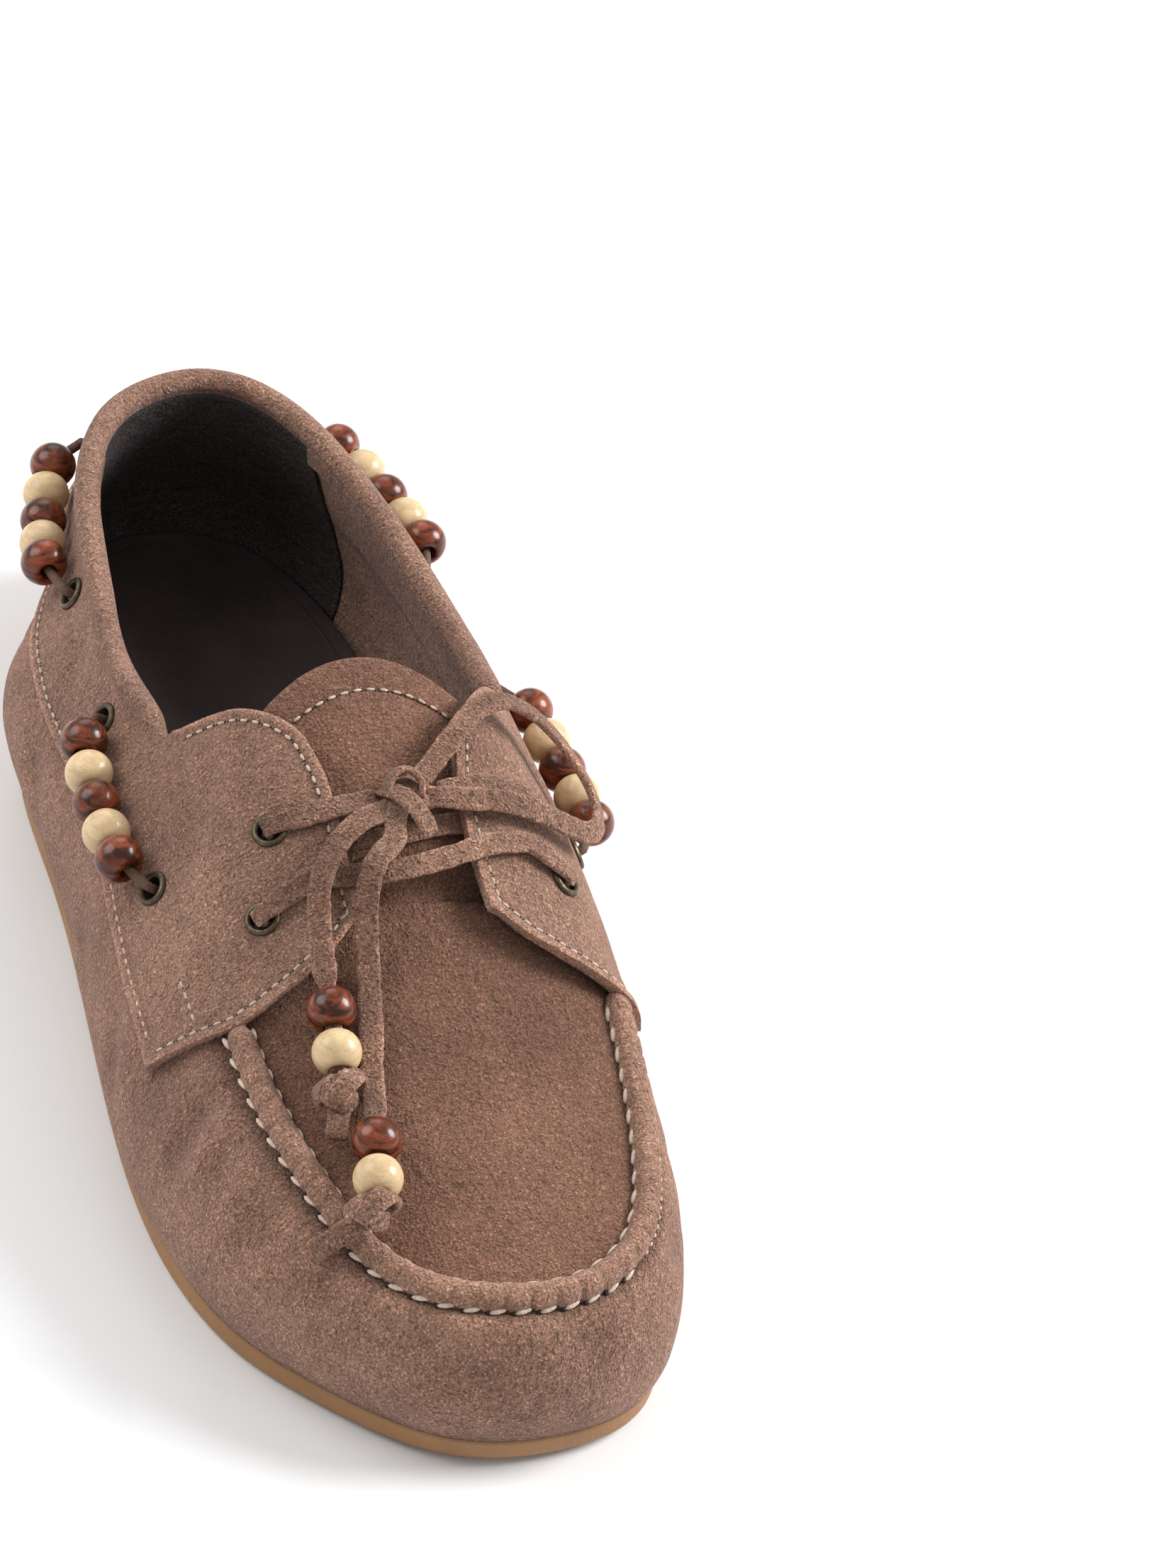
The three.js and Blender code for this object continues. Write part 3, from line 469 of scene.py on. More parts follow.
def swell(points, *waves):
    """The soft swell of worked leather: waves of height, run and seed."""
    return sum(height * unevenness(points, run, seed) for height, run, seed in waves)


def crease_relief(points, creases):
    """Troughs along the listed creases, each with a low swell on both sides."""
    relief = np.zeros(len(points))
    for t0, h0, t1, h1, width, depth in creases:
        s = np.linspace(0, 1, 24)
        line = face(lerp(t0, t1, s), lerp(h0, h1, s))
        gap = np.linalg.norm(points[:, None] - line[None], axis=2)
        nearest = gap.argmin(1)
        away = gap.min(1) / width
        fade = np.sin(np.pi * np.clip(nearest / 23, 0.04, 0.96))
        relief += 1.5 * depth * fade * (0.45 * np.exp(-((away - 1.7) ** 2) * 2) - np.exp(-(away**2)))
    return relief


def laid_grid(columns, rows, place, wrapped=False):
    """A grid laid on the shoe: place turns its two shares into points and the suede's tone there, painted
    light and shade included.
    """
    bm = bmesh.new()
    bmesh.ops.create_grid(bm, x_segments=columns, y_segments=rows, size=0.5)
    tone_layer = bm.verts.layers.float.new("tone")
    shares = np.array([v.co[:2] for v in bm.verts]) + 0.5
    points, tones = place(shares[:, 0], shares[:, 1])
    tones = np.broadcast_to(tones, len(points))
    for vert, point, tone in zip(bm.verts, points * MM, tones):
        vert.co = point
        vert[tone_layer] = tone
    if wrapped:
        bmesh.ops.remove_doubles(bm, verts=bm.verts, dist=1e-6)
        if bm.calc_volume(signed=True) < 0:
            bmesh.ops.reverse_faces(bm, faces=bm.faces)
    return bm


def tube_mesh(line, ups, section, sides):
    """A closed tube along a line of points; section gives its half width and height shares round it."""
    along = with_ends(unit(np.gradient(line, axis=0)))
    line, ups = with_ends(line), with_ends(ups)
    across = unit(np.cross(along, ups))
    ups = np.cross(across, along)
    shut = np.ones(len(line))
    shut[[0, -1]] = 0

    def place(u, v):
        i = np.rint(u * (len(line) - 1)).astype(int)
        side, up, tone = section(i, v)
        scale = shut[i][:, None]
        return line[i] + scale * (across[i] * side[:, None] + ups[i] * up[:, None]), tone

    return laid_grid(len(line) - 1, sides, place, wrapped=True)


def add_piece(name, bm, material, replaced=()):
    """Makes the finished piece, lets it ride on the shoe and hides the parts it stands for."""
    mesh = bpy.data.meshes.new(name)
    bm.to_mesh(mesh)
    bm.free()
    mesh.shade_smooth()
    piece = bpy.data.objects.new(name, mesh)
    bpy.context.scene.collection.objects.link(piece)
    mesh.materials.append(material)
    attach(piece, "root")
    if replaced:
        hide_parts(*replaced)
    return piece


def thicken(piece, thickness, rounding=0):
    """Gives a sheet its thickness inwards, with softly rounded cut edges."""
    wall = piece.modifiers.new("thickness", "SOLIDIFY")
    wall.thickness = thickness * MM
    wall.offset = -1
    wall.use_even_offset = False
    if rounding:
        edge = piece.modifiers.new("cut edge", "BEVEL")
        edge.width = rounding * MM
        edge.segments = 2
        edge.limit_method = "ANGLE"
        edge.angle_limit = math.radians(50)
    return piece


# Eyelet places
def eyelet_spots():
    """Name, station and height of each eyelet."""
    spots = {}
    for row, (start, end, high, _) in BEAD_ROWS.items():
        spots[f"{row}_outer_toe"] = end, high
        spots[f"{row}_outer_heel"] = start, high
        spots[f"{row}_inner_toe"] = ROUND - end, high
        spots[f"{row}_inner_heel"] = ROUND - start, high
    for name, spot in LACE_EYELETS.items():
        spots[f"lace_{name}"] = spot
    return spots


EYELETS = eyelet_spots()


def punch(bm, names, radius=2.5, depth=5):
    """Takes the leather out of the named eyelets' holes."""
    spots = [(face(*EYELETS[n]), face_normal(*EYELETS[n])) for n in names]
    middles = np.array([f.calc_center_median() for f in bm.faces]) / MM
    gone = np.zeros(len(middles), bool)
    for centre, up in spots:
        away = middles - centre
        deep = away @ up
        gone |= (np.abs(deep) < depth) & (np.linalg.norm(away - deep[:, None] * up, axis=1) < radius)
    bm.faces.ensure_lookup_table()
    bmesh.ops.delete(bm, geom=[bm.faces[i] for i in np.flatnonzero(gone)], context="FACES")


# Materials
TAN_THREAD = (0.62, 0.49, 0.38)
# Painted shade for the pits where the thread goes into the leather
HOLE_SHADE_COLOUR = (0.03, 0.018, 0.014)
THONG_BROWN = (0.12, 0.06, 0.035)
FLOOR_GREY = (0.86, 0.86, 0.86)
SHEEN_TINT = (0.88, 0.74, 0.74, 1)
CLOUDS, PATCHES, NAP, FLECKS, FIBRES = 30, 90, 520, 2000, 2100  # how fine each is in suede


class Shader:
    """A node material under construction: makes nodes and links them in one call."""

    def __init__(self, name):
        self.material = bpy.data.materials.new(name)
        self.material.use_nodes = True
        self.tree = self.material.node_tree
        self.surface = self.tree.nodes["Principled BSDF"]

    def node(self, kind, inputs=None, **settings):
        made = self.tree.nodes.new(kind)
        for key, value in settings.items():
            setattr(made, key, value)
        for key, value in (inputs or {}).items():
            self.put(made.inputs[key], value)
        return made

    def put(self, socket, value):
        if isinstance(value, bpy.types.NodeSocket):
            self.tree.links.new(value, socket)
        else:
            socket.default_value = value

    def surfaced(self, inputs):
        """Gives the surface its inputs and returns the finished material."""
        for key, value in inputs.items():
            self.put(self.surface.inputs[key], value)
        return self.material

    def noise(self, place, scale, detail=3.0, roughness=0.55, distortion=0.0):
        inputs = {"Vector": place, "Scale": scale, "Detail": detail}
        inputs |= {"Roughness": roughness, "Distortion": distortion}
        return self.node("ShaderNodeTexNoise", inputs).outputs["Fac"]

    def ramp(self, value, low, high, out_low=0.0, out_high=1.0):
        inputs = {"Value": value, "From Min": low, "From Max": high, "To Min": out_low, "To Max": out_high}
        return self.node("ShaderNodeMapRange", inputs).outputs["Result"]

    def mix(self, share, a, b, blend="MIX"):
        made = self.node("ShaderNodeMix", data_type="RGBA", blend_type=blend)
        for key, value in ((0, share), (6, a), (7, b)):
            self.put(made.inputs[key], value)
        return made.outputs[2]

    def math(self, operation, a, b):
        return self.node("ShaderNodeMath", {0: a, 1: b}, operation=operation).outputs[0]

    def bump(self, height, distance, normal=None, strength=1.0):
        inputs = {"Height": height, "Distance": distance, "Strength": strength}
        if normal:
            inputs["Normal"] = normal
        return self.node("ShaderNodeBump", inputs).outputs["Normal"]

    def place(self, stretch=(1, 1, 1), turn=(0, 0, 0)):
        found = self.node("ShaderNodeTexCoord").outputs["Object"]
        mapping = self.node("ShaderNodeMapping", {"Vector": found, "Scale": stretch, "Rotation": turn})
        return mapping.outputs["Vector"]


def rgba(colour):
    return (*colour, 1.0)


def scaled(colour, share):
    """A colour made darker or lighter."""
    return [value * share for value in colour]


def suede(name, colour, redder, nap=1.0, contrast=1.0, sheen=0.28):
    """Napped suede: soft clouds, brushed patches, a speckled nap and a few pale fibres, times each piece's
    tone, which holds painted light and shade: lighter edges, partly rubbed and partly painted highlight, and
    painted shade in creases and grooves.
    """
    s = Shader(name)
    place = s.place()
    brushed = s.place(stretch=(1.0, 0.45, 1.0), turn=(0.2, 0.0, 0.5))
    cloud = s.noise(place, CLOUDS, 3, 0.55)
    patch = s.noise(brushed, PATCHES, 4, 0.6, 0.6)
    grain = s.noise(place, NAP, 3, 0.6)
    fleck = s.noise(place, FLECKS, 2, 0.6)
    fibre = s.noise(place, FIBRES, 1, 0.5)
    body = s.mix(s.ramp(cloud, 0.36, 0.64), rgba(colour), rgba(redder))
    patchy = s.ramp(patch, 0.3, 0.7, 1 - 0.15 * contrast, 1 + 0.14 * contrast)
    grainy = s.ramp(grain, 0.3, 0.7, 1 - 0.12 * contrast, 1 + 0.16 * contrast)
    flecked = s.ramp(fleck, 0.32, 0.68, 1 - 0.4 * contrast, 1 + 0.5 * contrast)
    lit = s.ramp(fibre, 0.58, 0.7, 1.0, 1 + 0.9 * contrast)
    # The tone each piece lays in its vertices: random tone, with painted light and shade.
    tone = s.node("ShaderNodeAttribute", attribute_name="tone").outputs["Fac"]
    light = s.math("MULTIPLY", s.math("MULTIPLY", patchy, grainy), s.math("MULTIPLY", flecked, lit))
    light = s.math("MULTIPLY", light, s.math("ADD", tone, 1.0))
    soft = s.bump(patch, 0.0009)
    napped = s.bump(grain, 0.0012 * nap, soft)
    return s.surfaced(
        {
            "Base Color": s.mix(1.0, body, light, "MULTIPLY"),
            "Roughness": 0.95,
            "Specular IOR Level": 0.1,
            "Sheen Weight": sheen,
            "Sheen Roughness": 0.4,
            "Sheen Tint": SHEEN_TINT,
            "Normal": s.bump(fleck, 0.0008 * nap, napped),
        }
    )


def thread(name, colour, roughness=0.6):
    s = Shader(name)
    place = s.place()
    twist = s.noise(place, 1400, 2)
    body = s.mix(s.ramp(twist, 0.3, 0.7), rgba(colour), rgba(scaled(colour, 0.72)))
    return s.surfaced({"Base Color": body, "Roughness": roughness, "Normal": s.bump(twist, 0.0003)})


def wood(name, colour, streak, gloss, grain_depth):
    """Turned wood: fine rings and pores under a thin varnish."""
    s = Shader(name)
    place = s.place(stretch=(1, 1, 3))
    rings = s.noise(place, 210, 4, 0.6, 0.7)
    pores = s.noise(place, 1800, 2, 0.7)
    body = s.mix(s.ramp(rings, 0.38, 0.6), rgba(colour), rgba(streak))
    dark = s.ramp(pores, 0.32, 0.42, 0.75, 1.0)
    return s.surfaced(
        {
            "Base Color": s.mix(1.0, body, dark, "MULTIPLY"),
            "Roughness": s.ramp(pores, 0.3, 0.7, gloss + 0.12, gloss),
            "Specular IOR Level": 0.3,
            "Coat Weight": 0.25,
            "Coat Roughness": 0.12,
            "Normal": s.bump(rings, grain_depth),
        }
    )


def gum_rubber(colour):
    s = Shader("gum rubber")
    place = s.place()
    cloudy = s.noise(place, 60, 3)
    dust = s.noise(place, 900, 3)
    body = s.mix(s.ramp(cloudy, 0.3, 0.7), rgba(colour), rgba(scaled(colour, 0.82)))
    return s.surfaced(
        {
            "Base Color": body,
            "Roughness": s.ramp(dust, 0.3, 0.7, 0.42, 0.62),
            "Normal": s.bump(dust, 0.0002),
        }
    )


def footbed_leather(colour):
    s = Shader("footbed leather")
    place = s.place()
    worn = s.noise(place, 40, 4)
    creased = s.noise(place, 700, 3)
    body = s.mix(s.ramp(worn, 0.35, 0.7), rgba(colour), rgba(scaled(colour, 1.8)))
    return s.surfaced(
        {
            "Base Color": body,
            "Roughness": s.ramp(worn, 0.3, 0.7, 0.65, 0.85),
            "Specular IOR Level": 0.2,
            "Normal": s.bump(creased, 0.0004),
        }
    )


def aged_brass(colour):
    s = Shader("aged brass")
    place = s.place()
    tarnish = s.noise(place, 700, 4, 0.7)
    body = s.mix(s.ramp(tarnish, 0.35, 0.65), rgba(colour), rgba(scaled(colour, 0.5)))
    return s.surfaced(
        {
            "Base Color": body,
            "Metallic": 0.85,
            "Roughness": s.ramp(tarnish, 0.3, 0.7, 0.3, 0.55),
            "Normal": s.bump(tarnish, 0.0001),
        }
    )


def floor_paint(colour):
    s = Shader("studio floor")
    return s.surfaced({"Base Color": rgba(colour), "Roughness": 0.9})


def colour_field(name, description, *default):
    return bpy.props.FloatVectorProperty(
        name=name, description=description, default=default, subtype="COLOR"
    )


def size_field(name, description, default):
    return bpy.props.FloatProperty(name=name, description=description, default=default)


class MoccasinColours(bpy.types.PropertyGroup):
    """Colours of the leathers, threads, beads and sole."""

    suede: colour_field("Suede", "Taupe of the upper", 0.275, 0.155, 0.106)
    suede_warm: colour_field("Warm suede", "Redder clouds in it", 0.215, 0.118, 0.082)
    apron: colour_field("Apron suede", "Apron and tongue", 0.145, 0.075, 0.05)
    lining: colour_field("Heel lining", "Nearly black", 0.05, 0.042, 0.043)
    footbed: colour_field("Footbed", "Dark brown insole", 0.034, 0.025, 0.024)
    thread: colour_field("Thread", "Cream stitching thread", 0.66, 0.53, 0.42)
    rubber: colour_field("Gum rubber", "Caramel sole", 0.33, 0.165, 0.065)
    dark_wood: colour_field("Dark beads", "Red-brown wood", 0.25, 0.052, 0.016)
    pale_wood: colour_field("Pale beads", "Pale wood", 0.72, 0.52, 0.29)
    brass: colour_field("Eyelets", "Aged brass", 0.13, 0.1, 0.065)


class MoccasinSizes(bpy.types.PropertyGroup):
    """Sizes of the sewing and of the strips, in millimetres."""

    ridge_radius: size_field("Ridge radius", "Half the width of the moccasin ridge, mm", 2.5)
    saddle_stitch: size_field("Saddle stitch", "Length of a stitch on the ridge, mm", 3.3)
    saddle_pitch: size_field("Saddle pitch", "From one ridge stitch to the next, mm", 4.5)
    edge_stitch: size_field("Edge stitch", "Length of a stitch along the flaps, mm", 1.7)
    edge_pitch: size_field("Edge pitch", "From one flap stitch to the next, mm", 2.5)
    stitch_inset: size_field("Stitch inset", "From a flap's edge to its stitches, mm", 2.2)
    lace_width: size_field("Lace width", "Width of the flat lace, mm", 4.2)
    lace_thickness: size_field("Lace thickness", "Thickness of the flat lace, mm", 1.6)


def colours():
    return bpy.context.scene.moccasin_colours


def sizes():
    return bpy.context.scene.moccasin_sizes


MATERIALS = {}


def material(name):
    """The object's materials, each made once."""
    if name not in MATERIALS:
        c = colours()
        makers = {
            "suede": lambda: suede("taupe suede", c.suede, c.suede_warm),
            "apron": lambda: suede("apron suede", c.apron, scaled(c.apron, 1.25), 0.8, 0.9, 0.12),
            "lace": lambda: suede("lace suede", c.suede, c.apron, 1.2, 1.1),
            "lining": lambda: suede("heel lining", c.lining, c.lining, 0.6, 0.8, 0.0),
            "footbed": lambda: footbed_leather(c.footbed),
            "cream": lambda: thread("cream thread", c.thread),
            "tan": lambda: thread("tan thread", TAN_THREAD),
            # painted shade in the stitch holes
            "holes": lambda: thread("stitch hole shade", HOLE_SHADE_COLOUR, 0.95),
            "thong": lambda: thread("brown thong", THONG_BROWN, 0.7),
            "rubber": lambda: gum_rubber(c.rubber),
            "dark_wood": lambda: wood("dark wood", c.dark_wood, scaled(c.dark_wood, 0.13), 0.22, 0.0001),
            "pale_wood": lambda: wood("pale wood", c.pale_wood, scaled(c.pale_wood, 0.78), 0.32, 0.00008),
            "brass": lambda: aged_brass(c.brass),
            "floor": lambda: floor_paint(FLOOR_GREY),
        }
        MATERIALS[name] = makers[name]()
    return MATERIALS[name]


# Laces
def lace_facing(line):
    """Which way a lace that lies on the instep faces."""
    turn, forward, up = LACE_LEAN
    return unit(stack(line[:, 0] * turn, forward, up))


def lace_mesh(line, widths, facing=None, thickness=None, cupped=0.12, seed=3.1):
    """A flat suede strip with soft rounded edges, a little cupped and rough along its sides."""
    thickness = thickness or sizes().lace_thickness
    facing = lace_facing(line) if facing is None else facing
    widths = with_ends(widths)
    rough = with_ends(unevenness(line, 1.6, seed))

    def section(i, v):
        a = v * 2 * math.pi
        flat = np.sign(np.cos(a)) * np.abs(np.cos(a)) ** 0.6
        tall = np.sign(np.sin(a)) * np.abs(np.sin(a)) ** 0.7
        half = widths[i] / 2 * (1 + 0.12 * rough[i] * np.abs(flat))
        up = tall * thickness / 2 + cupped * half * (flat**2 - 0.4)
        return flat * half, up, 0.5 * np.abs(flat) ** 4 + 0.3 * rough[i] * np.abs(flat)

    return tube_mesh(line, facing, section, 20)


def lace_widths(line, narrow_at=(), narrow=3.0, reach=3.6):
    """Width along a strip, drawn in where it passes through beads or eyelets."""
    widths = np.full(len(line), sizes().lace_width)
    for point in narrow_at:
        away = np.linalg.norm(line - np.array(point), axis=1)
        widths = np.minimum(widths, lerp(narrow, sizes().lace_width, ease((away - reach) / 3.5)))
    return widths


def turned(profile, steps, middle, along):
    """A ring turned from a closed profile of radius and height, set at a place."""
    bm = bmesh.new()
    verts = [bm.verts.new((r * MM, 0, z * MM)) for r, z in profile]
    geom = verts + [bm.edges.new(pair) for pair in zip(verts, verts[1:])]
    whole = {"cent": (0, 0, 0), "axis": (0, 0, 1), "angle": 2 * math.pi, "steps": steps}
    bmesh.ops.spin(bm, geom=geom, use_merge=True, **whole)
    bmesh.ops.remove_doubles(bm, verts=bm.verts, dist=1e-6)
    bmesh.ops.recalc_face_normals(bm, faces=bm.faces)
    turn = Vector((0, 0, 1)).rotation_difference(Vector(along)).to_matrix().to_4x4()
    bmesh.ops.transform(bm, matrix=Matrix.Translation(Vector(middle) * MM) @ turn, verts=bm.verts)
    return bm


def add_bead(name, middle, along, bore, wooden, replaced):
    """A bored wooden bead, turned from a barrel profile."""
    half = BEAD_LENGTH / 2
    mouth = bore + BEAD_MOUTH
    angles = np.linspace(-BEAD_ROUNDING, BEAD_ROUNDING, 13)
    profile = [(bore, 0), (bore, -half * 0.9), (mouth, -half)]
    profile += [(BEAD_RADIUS * math.cos(a) ** 0.85, half * math.sin(a) / math.sin(1.12)) for a in angles]
    profile += [(mouth, half), (bore, half * 0.9), (bore, 0)]
    return add_piece(name, turned(profile, 32, middle, along), material(wooden), [replaced])


class MOCCASIN_OT_laces(bpy.types.Operator):
    """Lay the bow, its loop, its two ends with their beads and knots, and the bars over the instep"""

    bl_idname = "moccasin.laces"
    bl_label = "Laces"

    def execute(self, context):
        self.bars()
        self.knot()
        self.loop()
        for side in ("outer", "inner"):
            self.end(side)
        return {"FINISHED"}

    def strip(self, name, line, narrow_at=(), narrow=3.0, reach=3.6, replaced=(), **shape):
        widths = lace_widths(line, narrow_at, narrow, reach)
        return add_piece(name, lace_mesh(line, widths, **shape), material("lace"), replaced)

    def bars(self):
        """Bars from eyelet to eyelet, dipping into the holes."""
        eyes = {
            name: [skin(*spot, depth) for depth in (-4.0, PANEL - 0.4, PANEL + 1.6)]
            for name, spot in LACE_EYELETS.items()
        }
        lower = [*eyes["outer_lower"], *LACE_LINES["bar_lower"][1:-1], *eyes["inner_lower"][::-1]]
        outer = [*eyes["outer_upper"], *LACE_LINES["bar_upper_outer"][1:]]
        inner = [*LACE_LINES["bar_upper_inner"][:-1], *eyes["inner_upper"][::-1]]
        mouths = [points[1] for points in eyes.values()]
        for name, points in (("bar_lower", lower), ("bar_upper_outer", outer), ("bar_upper_inner", inner)):
            line = smooth_line(points, 0.7)
            self.strip(name + "_strip", line, mouths, 3.4, 2.0, [f"lace_{name}"], seed=len(name) + 0.3)
        under = smooth_line(LACE_LINES["bar_under"], 0.7)
        self.strip("bar_under_strip", under, replaced=["lace_bar_under"])

    def knot(self):
        """The bow's knot: a ring round the bars, a strip drawn over it and its small upright fold."""
        middle = np.array(KNOT_MIDDLE)
        angles = np.linspace(-math.pi, math.pi, 60)
        across, back, up = KNOT_RING
        ring = middle + stack(across * np.sin(angles), back * np.sin(angles), up * np.cos(angles))
        pieces = (
            ("bow_knot", ring, middle),
            ("bow_knot_wrap", smooth_line(middle + np.array(KNOT_WRAP), 0.5), middle + (-1, -2.5, -3)),
            ("bow_knot_fold", smooth_line(middle + np.array(KNOT_FOLD), 0.5), middle + (-0.9, -0.4, 1.6)),
        )
        for name, line, centre in pieces:
            widths = np.full(len(line), KNOT_STRIP)
            mesh = lace_mesh(line, widths, unit(line - centre), 1.3, 0.05, 1.7)
            add_piece(name, mesh, material("lace"), ["lace_knot"])

    def loop(self):
        line = smooth_line([KNOT_LEAVES["loop_start"], *LACE_LINES["loop"], KNOT_LEAVES["loop_end"]], 0.7)
        facing = unit(lace_facing(line) + 0.35 * unit(line - line.mean(0)))
        piece = self.strip("bow_loop", line, replaced=["lace_loop"], facing=facing, seed=8.2)

    def end(self, side):
        beads = END_BEADS[side]
        dark, pale = np.array(beads["dark"]), np.array(beads["pale"])
        line = smooth_line([*KNOT_LEAVES[f"end_{side}"], *LACE_LINES[f"end_{side}"][1:]], 0.7)
        widths = lace_widths(line, [dark, pale])
        mesh = lace_mesh(line, widths, seed=5.7)
        piece = add_piece(f"bow_end_{side}", mesh, material("lace"), [f"lace_end_{side}"])
        pieces = []
        for tint, middle in (("dark", dark), ("pale", pale)):
            node = f"lace_bead_{side}_{tint}"
            along = unit(pale - dark)
            pieces.append(add_bead(node + "_turned", middle, along, LACE_BORE, tint + "_wood", node))
        pieces += self.end_knot(side, np.array(beads["knot"]))

    def end_knot(self, side, middle):
        """An overhand knot drawn up to the bead: a round turn, a strip across it and the tail."""
        beads = END_BEADS[side]
        along = unit(np.array(beads["pale"]) - np.array(beads["dark"]))
        tail = np.array(LACE_LINES[f"tail_{side}"])
        up = unit(END_UP - along * (END_UP @ along))
        across = np.cross(along, up)

        def spots(places):
            return middle + np.array(places) @ np.array([along, across, up])

        angles = np.linspace(0, 2 * math.pi, 70)
        back, long, wide, tall = END_TURN
        turn = spots(stack(back + long * np.sin(angles), wide * np.sin(angles), tall * np.cos(angles)))
        tucked = smooth_line(spots(END_UNDER), 0.5)
        crossed = smooth_line([*spots(END_OVER), *tail], 0.5)
        made = []
        for name, line, width in (("turn", turn, 3.4), ("under", tucked, 3.4), ("tail", crossed, 4.0)):
            mesh = lace_mesh(line, np.full(len(line), width), unit(line - spots((-1, 0, -1.5))), 1.5, 0.05)
            replaced = [f"lace_end_{side}_knot"]
            made.append(add_piece(f"end_knot_{side}_{name}", mesh, material("lace"), replaced))
        return made


# Suede panels
class MOCCASIN_OT_wall(bpy.types.Operator):
    """Form the vamp and quarters as one soft wall round the last"""

    bl_idname = "moccasin.wall"
    bl_label = "Vamp and quarters"

    def execute(self, context):
        def place(u, v):
            t, height = u * ROUND, v
            points = face(t, height)
            relief = crease_relief(points, CREASES) + swell(points, (0.35, 24, 1.7), (0.12, 7, 4.2))
            relief -= 0.55 * hump(height, 0.035)
            under_ridge = ease((t - RIDGE_BED[0]) / 0.4) * ease((RIDGE_BED[1] - t) / 0.4)
            for rise, at, width in RIDGE_FOLDS:
                relief += rise * under_ridge * hump(height - at, width)
            relief *= ease(height / 0.05) * ease((1 - height) / 0.04)
            # Painted shade and light: darker in the creases and lighter on the swells, darker at the foot
            # above the sole and just under the ridge, and a painted shadow along the line under the panel's
            # foot.
            tone = swell(points, (0.09, 30, 9.1)) + 0.3 * relief
            tone -= 0.22 * hump(height, 0.05) + 0.3 * under_ridge * hump(height - 0.95, 0.05)
            panelled = 1 - ease((np.minimum(t, ROUND - t) - FLAP_FRONT[0][1]) / 0.1)
            tone -= 0.45 * panelled * hump(height - PANEL_FOOT + 0.012, 0.018)
            return points + face_normal(t, height) * relief[:, None], tone

        bm = laid_grid(600, 56, place)
        bmesh.ops.remove_doubles(bm, verts=bm.verts, dist=1e-6)
        punch(bm, [n for n in EYELETS if not n.startswith("lace")])
        piece = add_piece("vamp_and_quarters", bm, material("suede"), ["upper"])
        thicken(piece, WALL - 0.4)
        return {"FINISHED"}


def apron_point(t, across):
    outer, inner = rim(t), rim(ROUND - t)
    points = lerp(outer, inner, ((1 + across) / 2)[:, None])
    points[:, 2] += middle_crown(t) * (1 - across**2)
    return points


class MOCCASIN_OT_apron(bpy.types.Operator):
    """Lay the browner apron inside the ridge, with the soft dents of the toes"""

    bl_idname = "moccasin.apron"
    bl_label = "Apron"

    def execute(self, context):
        def place(u, v):
            t = lerp(TOE - 0.02, APRON_BACK, v)
            across = (u * 2 - 1) * 0.99
            points = apron_point(t, across)
            edge = 1 - np.abs(across)
            # Painted shade along its edges under the ridge, and painted shade deepening from the toe back
            # towards the laces.
            tone = swell(points, (0.22, 19, 7.7)) - 0.25 * hump(edge, 0.1) + lerp(0.12, -0.12, v)
            points[:, 2] += swell(points, (0.3, 26, 3.3), (0.1, 8, 6.1)) - 0.7 * hump(edge, 0.12)
            return points, tone

        piece = add_piece("apron_sheet", laid_grid(84, 110, place), material("apron"))
        thicken(piece, APRON - 0.3)
        return {"FINISHED"}


def ridge_line():
    t = np.linspace(*RIDGE_ENDS, 420)
    return t, rim(t) + (0, 0, 0.4)


class MOCCASIN_OT_ridge(bpy.types.Operator):
    """Roll the moccasin ridge and gather it at each saddle stitch"""

    bl_idname = "moccasin.ridge"
    bl_label = "Moccasin ridge"

    def execute(self, context):
        t, line = ridge_line()
        away = with_ends(length_along(line))
        radius = sizes().ridge_radius
        pitch = sizes().saddle_pitch
        rough = with_ends(unevenness(line, 3.0, 2.2))
        taper = ease(np.minimum(away, away[-1] - away) / 3.0) * 0.35 + 0.65

        def section(i, v):
            a = v * 2 * math.pi
            bite = np.exp(-((np.mod(away[i] / pitch + 0.5, 1) - 0.5) ** 2) / 0.015)
            outer = np.clip(np.cos(a), 0, 1) ** 0.5
            gathered = 1 - (0.02 + 0.12 * outer) * bite + 0.05 * rough[i]
            size = radius * taper[i] * gathered
            # Painted light and shade: lighter on top, darker underneath, and painted shade in each gather on
            # the outer side.
            tone = 0.08 + 0.15 * np.sin(a) - 0.18 * bite * outer
            return np.cos(a) * size, np.sin(a) * size * 1.05, tone

        bm = tube_mesh(line, stack(0, 0, np.ones(len(line))), section, 24)
        add_piece("moccasin_ridge", bm, material("suede"))
        return {"FINISHED"}


def panel_station(share, way):
    """Station along the panel: share -1 is the inner flap's front, 1 the outer flap's front."""
    heel = PANEL_TURN_SHARE
    side = np.abs(share)
    front = looked_up(FLAP_FRONT, way)
    t = np.where(side < heel, side / heel * PANEL_TURN, lerp(PANEL_TURN, front, (side - heel) / (1 - heel)))
    return np.sign(share) * t


def panel_height(t, way):
    return lerp(PANEL_FOOT, looked_up(FLAP_TOP, np.abs(t)), way)


def panel_edge(part, side):
    """A line along one edge of the panel: its foot, its front or the flap's free top."""
    if part == "foot":
        share, way = np.linspace(0, 1, 400), np.zeros(400)
    elif part == "front":
        share, way = np.ones(160), np.linspace(0, 1, 160)
    else:
        share, way = np.linspace(1, 0.72, 220), np.ones(220)
    t = panel_station(share * side, way)
    height = panel_height(t, way)
    keep = height > 1.0 if part == "top" else height > 0
    return t[keep], height[keep]


def inset_line(t, height, inset, proud, turn):
    """A line beside another one on the face, moved sideways over the leather."""
    points = skin(t, height, proud)
    normals = face_normal(t, height)
    along = unit(np.gradient(points, axis=0))
    return points + turn * inset * unit(np.cross(normals, along)), normals


